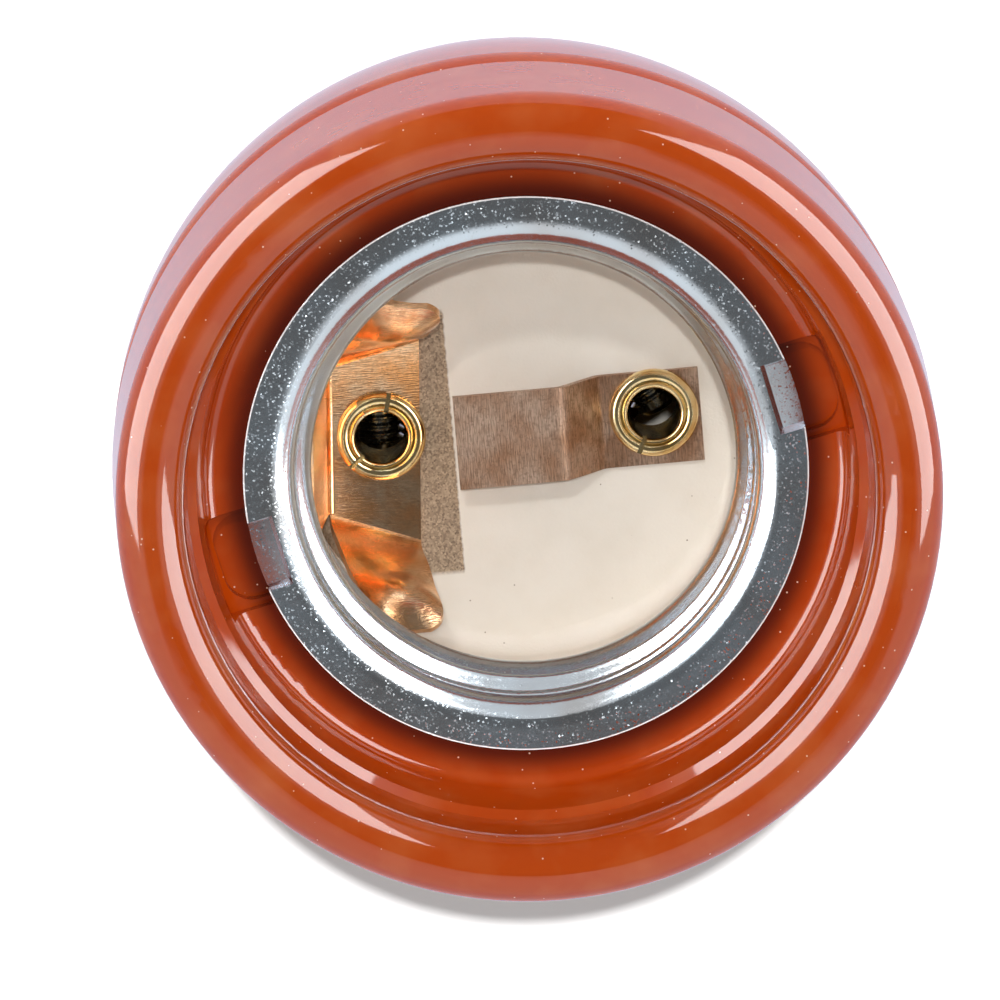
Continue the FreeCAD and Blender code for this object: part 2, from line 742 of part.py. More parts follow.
def side_contact():
    """The butterfly: a riveted plate, a leg up to the shell's edge and two sprung wings."""
    plate = extrude("side_plate", [
        ("-dims.plate_left", "-dims.plate_left_half"),
        ("dims.plate_right", "-dims.plate_right_half"),
        ("dims.plate_right", "dims.plate_right_half"),
        ("-dims.plate_left", "dims.plate_left_half"),
    ], XY_PLANE, "dims.contact_sheet")
    leg_top = "(dims.floor_depth - dims.shell_depth)"
    leg = extrude("side_leg_sheet", [
        ("0", "0"),
        ("0", "dims.contact_sheet"),
        ("-dims.plate_left", "dims.contact_sheet"),
        ("-dims.plate_left - dims.leg_lean", leg_top),
        ("-dims.plate_left - dims.leg_lean - dims.contact_sheet", leg_top),
        ("-dims.plate_left - dims.contact_sheet", "0"),
    ], XZ_PLANE, "2 * dims.plate_left_half", symmetric=True)
    doc.recompute()
    bent_leg = round_folds("side_leg", leg, {
        (value("-dims.plate_left"), value("dims.contact_sheet")): "dims.plate_bend",
        (value("-dims.plate_left - dims.contact_sheet"), 0.0): "dims.plate_bend + dims.contact_sheet",
    })
    wing = doc.addObject("Part::Feature", "wing_plus")
    wing.Shape = wing_shape()
    mirrored = doc.addObject("Part::Mirroring", "wing_minus")
    mirrored.Source = wing
    mirrored.Normal = Vector(0, 1, 0)
    sheet = fuse("side_sheet", plate, bent_leg, wing, mirrored)
    place(sheet, y="dims.plate_shift")
    hole = cylinder("side_hole", "dims.eyelet_shank + dims.eyelet_play",
                    f"dims.contact_sheet + 2 * {PAST}")
    place(hole, z=f"-{PAST}")
    contact = cut("side_contact", sheet, hole)
    return place(contact, x="-dims.side_place", z=FLOOR, turn="dims.side_turn")


# Where the rolled rims of the two eyelets have split, in degrees round from +X.
SIDE_SPLITS = (75, 220)
CENTRE_SPLITS = (245,)


def eyelet(name, x, splits):
    """A hollow rivet: a rolled head on the contact and a shank flared out under the terminal."""
    foot_top = f"({WEB_UNDERSIDE} - dims.clip_wall)"
    foot = f"({foot_top} - dims.eyelet_foot)"
    head = PLATE_TOP
    inner_bead = "((dims.eyelet_shank - dims.eyelet_bore) / 2)"
    waist = "(dims.eyelet_shank - dims.eyelet_waist)"
    outer_bead = f"(dims.eyelet_head - {waist}) / 2 + dims.bead_flat"
    turned = revolve(f"{name}_turned", [
        ("dims.eyelet_bore + dims.eyelet_flare", foot, "dims.eyelet_flare", 1),
        ("dims.eyelet_head", foot),
        ("dims.eyelet_head", foot_top),
        ("dims.eyelet_shank", foot_top),
        ("dims.eyelet_shank", head),
        ("dims.eyelet_head", head),
        ("dims.eyelet_head", f"{head} + dims.eyelet_rim"),
        (waist, f"{head} + dims.eyelet_valley", outer_bead, 1),
        (f"dims.eyelet_bore + {inner_bead}", f"{head} + dims.eyelet_height"),
        ("dims.eyelet_bore", f"{head} + dims.eyelet_height - {inner_bead}", inner_bead, 1),
        ("dims.eyelet_bore", f"{foot} + dims.eyelet_flare"),
    ])
    gaps = []
    for number, angle in enumerate(splits):
        gap = box(f"{name}_split_{number}", "dims.eyelet_head", "dims.split_width",
                  f"dims.eyelet_height + {PAST}")
        place(gap, x="dims.eyelet_bore - dims.split_inset", y="-dims.split_width / 2")
        turned_gap = compound(f"{name}_split_turned_{number}", gap)
        gaps.append(place(turned_gap, z=f"{head} + dims.split_floor", turn=angle))
    return place(cut(name, turned, *gaps), x=x)


# ---------------------------------------------------------------- terminals

def terminal(name, x, turn):
    """A U-shaped brass clip under the web, with the screw's thread in one leg."""
    half_gap = "dims.clip_gap / 2"
    outer = f"{half_gap} + dims.clip_wall"
    inner_bend = "(dims.clip_bend - dims.clip_wall)"
    clip = extrude(f"{name}_sheet", [
        (f"-({outer})", "-dims.clip_height"),
        (f"-({half_gap})", "-dims.clip_height"),
        (f"-({half_gap})", "-dims.clip_bend"),
        (f"-({half_gap}) + {inner_bend}", "-dims.clip_wall", inner_bend, -1),
        (f"{half_gap} - {inner_bend}", "-dims.clip_wall"),
        (half_gap, "-dims.clip_bend", inner_bend, -1),
        (half_gap, "-dims.clip_height"),
        (outer, "-dims.clip_height"),
        (outer, "-dims.clip_bend"),
        (f"{outer} - dims.clip_bend", "0", "dims.clip_bend", 1),
        (f"-({outer}) + dims.clip_bend", "0"),
        (f"-({outer})", "-dims.clip_bend", "dims.clip_bend", 1),
    ], YZ_PLANE, "dims.clip_width", symmetric=True)
    rivet_hole = cylinder(f"{name}_rivet_hole", "dims.eyelet_shank + dims.eyelet_play",
                          f"dims.clip_wall + 2 * {PAST}")
    place(rivet_hole, z=f"-dims.clip_wall - {PAST}")
    thread = cylinder_along_y(f"{name}_thread", "dims.screw_radius + dims.screw_play",
                              f"dims.clip_wall + 2 * {PAST}", f"{half_gap} - {PAST}",
                              "-dims.clip_screw_drop")
    clip_cut = cut(name, clip, rivet_hole, thread)
    return place(clip_cut, x=x, z=WEB_UNDERSIDE, turn=turn)


def terminal_screw(name, x, turn, tip):
    """An M3 cheese-head screw that lies across the terminal, its tip at a place along the leg's axis."""
    height = "-dims.clip_screw_drop"
    shank = cylinder_along_y(f"{name}_shank", "dims.screw_radius",
                             "dims.clip_screw_length - dims.tip_chamfer",
                             f"{tip} + dims.tip_chamfer", height)
    point = new("Part::Cone", f"{name}_tip", Radius1="dims.screw_radius - dims.tip_chamfer",
                Radius2="dims.screw_radius", Height="dims.tip_chamfer")
    point.Placement.Rotation = Rotation(Vector(1, 0, 0), -90)
    place(point, "0", tip, height)
    head = cylinder_along_y(f"{name}_head", "dims.head_radius", "dims.head_height",
                            f"{tip} + dims.clip_screw_length", height)
    slot = box(f"{name}_slot", f"2 * (dims.head_radius + {PAST})", f"dims.slot_depth + {PAST}",
               "dims.slot_width")
    place(slot, x=f"-(dims.head_radius + {PAST})",
          y=f"{tip} + dims.clip_screw_length + dims.head_height - dims.slot_depth",
          z=f"{height} - dims.slot_width / 2")
    screw = cut(name, fuse(f"{name}_blank", shank, point, head), slot)
    return place(screw, x=x, z=WEB_UNDERSIDE, turn=turn)


# ---------------------------------------------------------------- cable entry

def entry_bush():
    bottom = "dims.bush_inset"
    seat = "(dims.cap_floor + dims.fibre_height)"
    top = f"({seat} + dims.collar_height)"
    return revolve("entry_bush", [
        ("dims.entry_bore + dims.bush_chamfer", bottom),
        ("dims.bush_radius - dims.bush_chamfer", bottom),
        ("dims.bush_radius", f"{bottom} + dims.bush_chamfer"),
        ("dims.bush_radius", seat),
        ("dims.collar_radius", seat),
        ("dims.collar_radius", f"{top} - dims.bush_chamfer"),
        ("dims.collar_radius - dims.bush_chamfer", top),
        ("dims.entry_bore + dims.bush_chamfer", top),
        ("dims.entry_bore", f"{top} - dims.bush_chamfer"),
        ("dims.entry_bore", f"{bottom} + dims.bush_chamfer"),
    ])


def entry_nut():
    """Thin hexagon nut, its corners turned off at 30 degrees on the outer side."""
    base = "(dims.recess_depth - dims.fibre_height - dims.entry_nut_height)"
    corner = "dims.entry_nut_width / 2 / cos(30)"
    hexagon = new("Part::Prism", "entry_nut_hexagon", Circumradius=corner, Height="dims.entry_nut_height")
    hexagon.Polygon = 6
    place(hexagon, z=base)
    turned = revolve("entry_nut_turned", [
        ("dims.bush_radius + dims.screw_play", base),
        ("dims.entry_nut_width / 2", base),
        (f"{corner} + {PAST}", f"{base} + ({corner} + {PAST} - dims.entry_nut_width / 2) * tan(30)"),
        (f"{corner} + {PAST}", f"{base} + dims.entry_nut_height"),
        ("dims.bush_radius + dims.screw_play", f"{base} + dims.entry_nut_height"),
    ])
    return common("entry_nut", hexagon, turned)


# ---------------------------------------------------------------- the assembly

node("holder_body", holder_body())
node("screw_shell", screw_shell())
node("side_contact", side_contact())
node("centre_contact", centre_contact())
node("side_eyelet", eyelet("side_eyelet", "-dims.side_place", SIDE_SPLITS))
node("centre_eyelet", eyelet("centre_eyelet", "dims.centre_place", CENTRE_SPLITS))
node("side_terminal", terminal("side_terminal", "-dims.side_place", "dims.side_clip_turn"))
node("centre_terminal", terminal("centre_terminal", "dims.centre_place", "dims.centre_clip_turn"))
node("side_terminal_screw",
     terminal_screw("side_terminal_screw", "-dims.side_place", "dims.side_clip_turn",
                    "dims.side_screw_tip"))
node("centre_terminal_screw",
     terminal_screw("centre_terminal_screw", "dims.centre_place", "dims.centre_clip_turn",
                    "dims.centre_screw_tip"))
node("rear_cap", rear_cap())
for screw_number, screw_side in ((1, 0), (2, 180)):
    node(f"cap_screw_{screw_number}", cap_screw(screw_number, screw_side))
    node(f"cap_washer_{screw_number}", cap_washer(screw_number, screw_side))
    node(f"cap_nut_{screw_number}", cap_nut(screw_number, screw_side))
node("entry_bush", entry_bush())
for washer, bottom in (("bush_washer", "dims.cap_floor"),
                       ("entry_washer", "(dims.recess_depth - dims.fibre_height)")):
    node(washer, ring(washer, "dims.bush_radius + dims.washer_play", "dims.fibre_radius", bottom,
                      "dims.fibre_height"))
node("entry_nut", entry_nut())

doc.recompute()
for item in doc.Objects:
    if "Invalid" in item.State or "Error" in item.State:
        raise RuntimeError(f"{item.Name} did not build: {item.State}")
os.makedirs("parts", exist_ok=True)
for name, item in nodes.items():
    shape = item.Shape
    if shape.isNull() or not shape.isValid() or len(shape.Solids) != 1:
        raise RuntimeError(f"{name}: {len(shape.Solids)} solids, valid {shape.isValid()}")
    shape.exportStep(f"parts/{name}.step")
    print(f"{name}: {shape.Volume:.1f} mm3")
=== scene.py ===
"""The looks of a porcelain E27 lamp holder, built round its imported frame."""
import json
from math import cos, pi, radians, sin

import bmesh
import bpy
from mathutils import Matrix, Vector


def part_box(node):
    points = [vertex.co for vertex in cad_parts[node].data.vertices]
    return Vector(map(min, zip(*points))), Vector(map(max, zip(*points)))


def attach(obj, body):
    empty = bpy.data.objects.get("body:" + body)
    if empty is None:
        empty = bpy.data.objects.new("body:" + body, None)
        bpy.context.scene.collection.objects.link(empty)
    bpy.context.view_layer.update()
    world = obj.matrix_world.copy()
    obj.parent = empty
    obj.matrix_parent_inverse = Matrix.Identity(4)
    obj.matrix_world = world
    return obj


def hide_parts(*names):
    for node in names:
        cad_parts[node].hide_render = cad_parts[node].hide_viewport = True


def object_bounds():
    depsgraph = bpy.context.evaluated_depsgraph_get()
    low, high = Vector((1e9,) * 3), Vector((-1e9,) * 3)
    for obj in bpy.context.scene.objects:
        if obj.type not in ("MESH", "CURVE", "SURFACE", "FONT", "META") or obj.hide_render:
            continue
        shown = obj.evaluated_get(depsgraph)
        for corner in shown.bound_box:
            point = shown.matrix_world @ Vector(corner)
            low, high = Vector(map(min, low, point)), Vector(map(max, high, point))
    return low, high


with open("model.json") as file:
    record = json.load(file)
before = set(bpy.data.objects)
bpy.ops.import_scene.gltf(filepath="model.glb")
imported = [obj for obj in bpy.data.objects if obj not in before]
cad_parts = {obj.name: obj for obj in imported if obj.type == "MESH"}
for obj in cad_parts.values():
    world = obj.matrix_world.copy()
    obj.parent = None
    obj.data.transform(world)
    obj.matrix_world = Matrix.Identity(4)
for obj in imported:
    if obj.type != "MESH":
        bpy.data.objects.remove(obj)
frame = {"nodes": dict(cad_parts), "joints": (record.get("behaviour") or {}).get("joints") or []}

nodes = frame["nodes"]
cad_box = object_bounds()

# ---------------------------------------------------------------- porcelain body and cap
# Electrical porcelain, pressed in steel dies, dipped in brown glaze as far as the bore and fired once.
# The bore, the floor and the hollow behind it stay bare, so that metal seats on clean faces.

MM = 0.001
PORCELAIN_IOR = 1.58

# Radii and heights that the finishes keep to, as the solids have them
flange_radius, _, flange_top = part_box("screw_shell")[1]
floor_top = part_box("centre_contact")[0].z
web_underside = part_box("side_terminal")[1].z
cap_low, cap_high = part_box("rear_cap")
cap_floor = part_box("bush_washer")[0].z

# Where the glaze ends: at the mouth of the bore, and at the hollow behind the floor or in the cap
BORE_MOUTH = 14.7 * MM
BODY_HOLLOW = 18.3 * MM
CAP_ENTRY = 7.2 * MM
CAP_HOLLOW = 18.0 * MM
CAP_LIP = 0.9 * MM
HOLLOW_MARGIN = 0.1 * MM
GLAZE_EDGE = 0.4 * MM
GLAZE_EDGE_WANDER = 1.5 * MM

# The glaze: its colours, its gloss, and the sizes of its clouds, waves and specks; its pale specks are
# painted glints
GLAZE = "#B64408"
# The next colour is the dark beside the flange: partly pooled glaze, partly painted shade of the recess
GLAZE_POOLED_AND_SHADED = "#5E1A02"
GLAZE_THIN = "#DE8A52"
# Pale specks painted into the glaze as glints of light
GLAZE_PAINTED_GLINT = "#F3CDAE"
GLAZE_SHEEN = 0.06
GLAZE_CLOUD = 4 * MM
GLAZE_WAVE = 2.4 * MM
GLAZE_WAVE_HEIGHT = 0.014 * MM
# Spacing, size and share of the painted glints
PAINTED_GLINT_SPACING = 0.6 * MM
PAINTED_GLINT_RADIUS = 0.06 * MM
PAINTED_GLINT_SHARE = 0.3
SPECK_CORE = 0.6
# Where that dark lies, beside the flange and low in the recess: pooled glaze and painted shade
POOL_AND_SHADE_WIDTH = 1.8 * MM
POOL_AND_SHADE_FADE = 3.0 * MM
pool_and_shade_radius = flange_radius + 0.2 * MM
pool_and_shade_top = flange_top + 4.2 * MM

# The bare biscuit. Its grain is far finer than this, and is drawn coarser so that it shows.
BISCUIT = "#F3EDE2"
BISCUIT_CLOUD = "#E2D9C9"
BISCUIT_GRIT = "#8C7B66"
BISCUIT_SHEEN = 0.62
BISCUIT_MOTTLE = 3 * MM
BISCUIT_TOOTH = 0.16 * MM
BISCUIT_ROUGH = 3.0
GRIT_SPACING = 1.1 * MM
GRIT_RADIUS = 0.06 * MM
GRIT_SHARE = 0.6

# A darker, grainier band of the floor beside the side contact: its grain, its colours, and the edges of
# the strip that it covers
BAND_GRAIN = 0.11 * MM
BAND_DARK = "#6F5C4B"
BAND_LIGHT = "#C9B397"
BAND_SIDE = -3.85 * MM
BAND_FOOT = -8.6 * MM
BAND_HEAD = 7.0 * MM
BAND_FADE = 0.3 * MM
BAND_BLUR = 0.05 * MM
BAND_WANDER = 0.4 * MM
BAND_WANDER_REACH = 0.2 * MM
FLOOR_BAND = 0.2 * MM


def linear(code):
    """A colour given as sRGB hex, as the four linear numbers that a socket takes."""
    shares = [int(code[digit:digit + 2], 16) / 255 for digit in (1, 3, 5)]
    return [s / 12.92 if s <= 0.04045 else ((s + 0.055) / 1.055) ** 2.4 for s in shares] + [1.0]


def fill(owner, node, inputs):
    """Sets sockets to a number or a colour, or links each to the node or output that feeds it."""
    for key, source in inputs.items():
        socket = node.inputs[key] if isinstance(key, int) else next(
            candidate for candidate in node.inputs if candidate.name == key and candidate.enabled)
        if isinstance(source, bpy.types.Node):
            source = next(output for output in source.outputs if output.enabled)
        if isinstance(source, bpy.types.NodeSocket):
            owner.node_tree.links.new(source, socket)
        else:
            socket.default_value = linear(source) if isinstance(source, str) else source


def add(owner, kind, inputs, **settings):
    """Adds a node to a material or a world, with its settings, values and links."""
    node = owner.node_tree.nodes.new(kind)
    for setting, choice in settings.items():
        setattr(node, setting, choice)
    fill(owner, node, inputs)
    return node


def new_material(name):
    """A new material, and the shader of its surface."""
    material = bpy.data.materials.new(name)
    material.use_nodes = True
    return material, material.node_tree.nodes["Principled BSDF"]


def place_on(material):
    """The point on the surface, its distance from the holder's axis, and its height."""
    point = add(material, "ShaderNodeTexCoord", {}).outputs["Object"]
    level = add(material, "ShaderNodeVectorMath", {0: point, 1: (1, 1, 0)}, operation="MULTIPLY")
    radius = add(material, "ShaderNodeVectorMath", {0: level}, operation="LENGTH")
    return point, radius, add(material, "ShaderNodeSeparateXYZ", {"Vector": point}).outputs["Z"]


def specks(material, point, spacing, radius, share):
    """1 in round specks, with a soft edge: one in each cell of that spacing, in that share of them."""
    cells = add(material, "ShaderNodeTexVoronoi", {"Vector": point, "Scale": 1 / spacing})
    inside = add(material, "ShaderNodeMapRange", {
        "Value": cells, "From Min": radius / spacing, "From Max": radius / spacing * SPECK_CORE})
    lot = add(material, "ShaderNodeSeparateColor", {"Color": cells.outputs["Color"]})
    kept = add(material, "ShaderNodeMath", {0: lot, 1: share}, operation="LESS_THAN")
    return add(material, "ShaderNodeMath", {0: inside, 1: kept}, operation="MULTIPLY")


def band_beside_contact(material, point, height):
    """1 on a darker, grainier band of the floor beside the side contact, which ends at a straight edge.
    """
    parts = add(material, "ShaderNodeSeparateXYZ", {"Vector": point})
    wander = add(material, "ShaderNodeTexNoise", {"Vector": point, "Scale": 1 / BAND_WANDER})
    edge = add(material, "ShaderNodeMath", {0: wander, 1: BAND_WANDER_REACH, 2: parts.outputs["X"]},
               operation="MULTIPLY_ADD")
    left = add(material, "ShaderNodeMapRange", {
        "Value": edge, "From Min": BAND_SIDE + BAND_BLUR, "From Max": BAND_SIDE - BAND_BLUR})
    above_foot = add(material, "ShaderNodeMapRange", {
        "Value": parts.outputs["Y"], "From Min": BAND_FOOT - BAND_FADE, "From Max": BAND_FOOT})
    below_head = add(material, "ShaderNodeMapRange", {
        "Value": parts.outputs["Y"], "From Min": BAND_HEAD + BAND_FADE, "From Max": BAND_HEAD})
    on_floor = add(material, "ShaderNodeMath", {0: height, 1: floor_top, 2: FLOOR_BAND},
                   operation="COMPARE")
    within = add(material, "ShaderNodeMath", {0: above_foot, 1: below_head}, operation="MULTIPLY")
    within = add(material, "ShaderNodeMath", {0: within, 1: on_floor}, operation="MULTIPLY")
    return add(material, "ShaderNodeMath", {0: left, 1: within}, operation="MULTIPLY")


def glazed_porcelain(name, bare_radius, hollow_radius, hollow_low, hollow_high):
    """Glaze over porcelain, with bare biscuit inside bare_radius and in the hollow.

    The eye sees a deep orange brown under a clear gloss, pale specks in it that are painted glints, and
    dark beside the flange, partly where glaze pooled and partly painted shade of the recess; the
    biscuit is matt, warm white and faintly gritty."""
    material, shader = new_material(name)
    point, radius, height = place_on(material)

    wander = add(material, "ShaderNodeTexNoise", {"Vector": point, "Scale": 1 / GLAZE_EDGE_WANDER})
    reach = add(material, "ShaderNodeMath", {0: wander, 1: GLAZE_EDGE, 2: radius},
                operation="MULTIPLY_ADD")
    past_bore = add(material, "ShaderNodeMapRange", {
        "Value": reach, "From Min": bare_radius, "From Max": bare_radius + GLAZE_EDGE},
        interpolation_type="SMOOTHSTEP")
    past_hollow = add(material, "ShaderNodeMapRange", {
        "Value": reach, "From Min": hollow_radius, "From Max": hollow_radius + GLAZE_EDGE},
        interpolation_type="SMOOTHSTEP")
    middle = (hollow_low + hollow_high) / 2
    at_hollow = add(material, "ShaderNodeMath", {0: height, 1: middle, 2: hollow_high - middle},
                    operation="COMPARE")
    off_hollow = add(material, "ShaderNodeMath", {0: 1.0, 1: at_hollow}, operation="SUBTRACT")
    kept_glaze = add(material, "ShaderNodeMath", {0: past_hollow, 1: off_hollow}, operation="MAXIMUM")
    glazed = add(material, "ShaderNodeMath", {0: past_bore, 1: kept_glaze}, operation="MULTIPLY")

    cloud = add(material, "ShaderNodeTexNoise", {"Vector": point, "Scale": 1 / GLAZE_CLOUD,
                                                 "Detail": 3.0})
    thin = add(material, "ShaderNodeMapRange", {"Value": cloud, "From Min": 0.45, "From Max": 0.75,
                                                "To Max": 0.2})
    colour = add(material, "ShaderNodeMix", {"Factor": thin, "A": GLAZE, "B": GLAZE_THIN},
                 data_type="RGBA")
    # Darker beside the flange and low in the recess: pooled glaze and painted shade
    beside = add(material, "ShaderNodeMapRange", {
        "Value": radius, "From Min": pool_and_shade_radius + POOL_AND_SHADE_WIDTH, "From Max": pool_and_shade_radius},
        interpolation_type="SMOOTHSTEP")
    low = add(material, "ShaderNodeMapRange", {
        "Value": height, "From Min": pool_and_shade_top, "From Max": pool_and_shade_top - POOL_AND_SHADE_FADE},
        interpolation_type="SMOOTHSTEP")
    above_joint = add(material, "ShaderNodeMath", {0: height, 1: web_underside},
                      operation="GREATER_THAN")
    pooled_and_shaded = add(material, "ShaderNodeMath", {0: beside, 1: low}, operation="MULTIPLY")
    pooled_and_shaded = add(material, "ShaderNodeMath", {0: pooled_and_shaded, 1: above_joint}, operation="MULTIPLY")
    colour = add(material, "ShaderNodeMix", {"Factor": pooled_and_shaded, "A": colour, "B": GLAZE_POOLED_AND_SHADED},
                 data_type="RGBA")
    # Pale specks painted in as glints of light on the glaze
    painted_glints = specks(material, point, PAINTED_GLINT_SPACING, PAINTED_GLINT_RADIUS, PAINTED_GLINT_SHARE)
    colour = add(material, "ShaderNodeMix", {"Factor": painted_glints, "A": colour, "B": GLAZE_PAINTED_GLINT},
                 data_type="RGBA")

    shade = add(material, "ShaderNodeTexNoise", {"Vector": point, "Scale": 1 / BISCUIT_MOTTLE,
                                                 "Detail": 4.0})
    shade = add(material, "ShaderNodeMapRange", {"Value": shade, "From Min": 0.4, "From Max": 0.8,
                                                 "To Max": 0.35})
    bare = add(material, "ShaderNodeMix", {"Factor": shade, "A": BISCUIT, "B": BISCUIT_CLOUD},
               data_type="RGBA")
    grit = specks(material, point, GRIT_SPACING, GRIT_RADIUS, GRIT_SHARE)
    bare = add(material, "ShaderNodeMix", {"Factor": grit, "A": bare, "B": BISCUIT_GRIT},
               data_type="RGBA")
    # Darker, grainier colour on the band of floor beside the side contact
    grains = add(material, "ShaderNodeTexVoronoi", {"Vector": point, "Scale": 1 / BAND_GRAIN})
    darker_band = add(material, "ShaderNodeMix", {"Factor": grains.outputs["Color"], "A": BAND_DARK,
                                            "B": BAND_LIGHT}, data_type="RGBA")
    bare = add(material, "ShaderNodeMix", {"Factor": band_beside_contact(material, point, height),
                                           "A": bare, "B": darker_band}, data_type="RGBA")

    tooth = add(material, "ShaderNodeTexNoise", {"Vector": point, "Scale": 1 / BISCUIT_TOOTH,
                                                 "Detail": 3.0})
    wave = add(material, "ShaderNodeTexNoise", {"Vector": point, "Scale": 1 / GLAZE_WAVE})
    tooth = add(material, "ShaderNodeMath", {0: tooth, 1: BISCUIT_ROUGH}, operation="MULTIPLY")
    skin = add(material, "ShaderNodeMix", {"Factor": glazed, "A": tooth, "B": wave})
    relief = add(material, "ShaderNodeBump", {"Height": skin, "Distance": GLAZE_WAVE_HEIGHT,
                                              "Strength": 0.5})
    fill(material, shader, {
        "IOR": PORCELAIN_IOR,
        "Base Color": add(material, "ShaderNodeMix", {"Factor": glazed, "A": bare, "B": colour},
                          data_type="RGBA"),
        "Roughness": add(material, "ShaderNodeMix", {"Factor": glazed, "A": BISCUIT_SHEEN,
                                                     "B": GLAZE_SHEEN}),
        "Normal": relief})
    return material


def dress(material, *names):
    """Gives CAD nodes their finish."""
    for name in names:
        mesh = nodes[name].data
        mesh.materials.clear()
        mesh.materials.append(material)


dress(glazed_porcelain("glazed_porcelain", BORE_MOUTH, BODY_HOLLOW, cap_low.z,
                       web_underside + HOLLOW_MARGIN), "holder_body")
dress(glazed_porcelain("glazed_porcelain_cap", CAP_ENTRY, CAP_HOLLOW, cap_floor - HOLLOW_MARGIN,
                       cap_high.z - CAP_LIP), "rear_cap")

# ---------------------------------------------------------------- screw shell
# Thin steel sheet, rolled into the lamp's screw, flanged, and dented into two notches of the body so
# that it can't turn. It is barrel plated with bright zinc before it goes in.

ZINC = "#D0DCE6"
ZINC_BLUSH = "#BDBFC1"
ZINC_CLOUD = 5 * MM
ZINC_SHEEN = 0.18
FLANGE_SHEEN = 0.2
# A painted highlight along the flange's outer edge, where its small round would catch light: white and
# rougher
EDGE_HIGHLIGHT_WHITE = "#FFFFFF"
EDGE_HIGHLIGHT_SHEEN = 0.6
EDGE_HIGHLIGHT_WIDTH = 0.1 * MM

# Real crystals are far finer than this, and are drawn coarser so that they show. How far one leans is
# a share of its normal: little in most of them, and much in the few that glint.
CRYSTAL = 0.09 * MM
CRYSTAL_PATCH = 1.4 * MM
CALM_LEAN = 0.015
PROUD_LEAN = 0.45
LEAN_BELOW_FLANGE = 0.25
RIPPLE = 0.5 * MM
RIPPLE_HEIGHT = 0.02 * MM

# Where the flange's face is, and how far its lip rolls inwards and the dents roll outwards
SHEET = 0.3 * MM
FACE_BAND = 0.1 * MM
FLANGE_INSIDE = 14.2 * MM
FLANGE_FADE = 0.6 * MM
LIP_OUTSIDE = 15.15 * MM
LIP_SLOPE = -0.32
DENT_INSIDE = 14.4 * MM
DENT_FADE = 0.2 * MM
DENT_SLOPE = 0.2


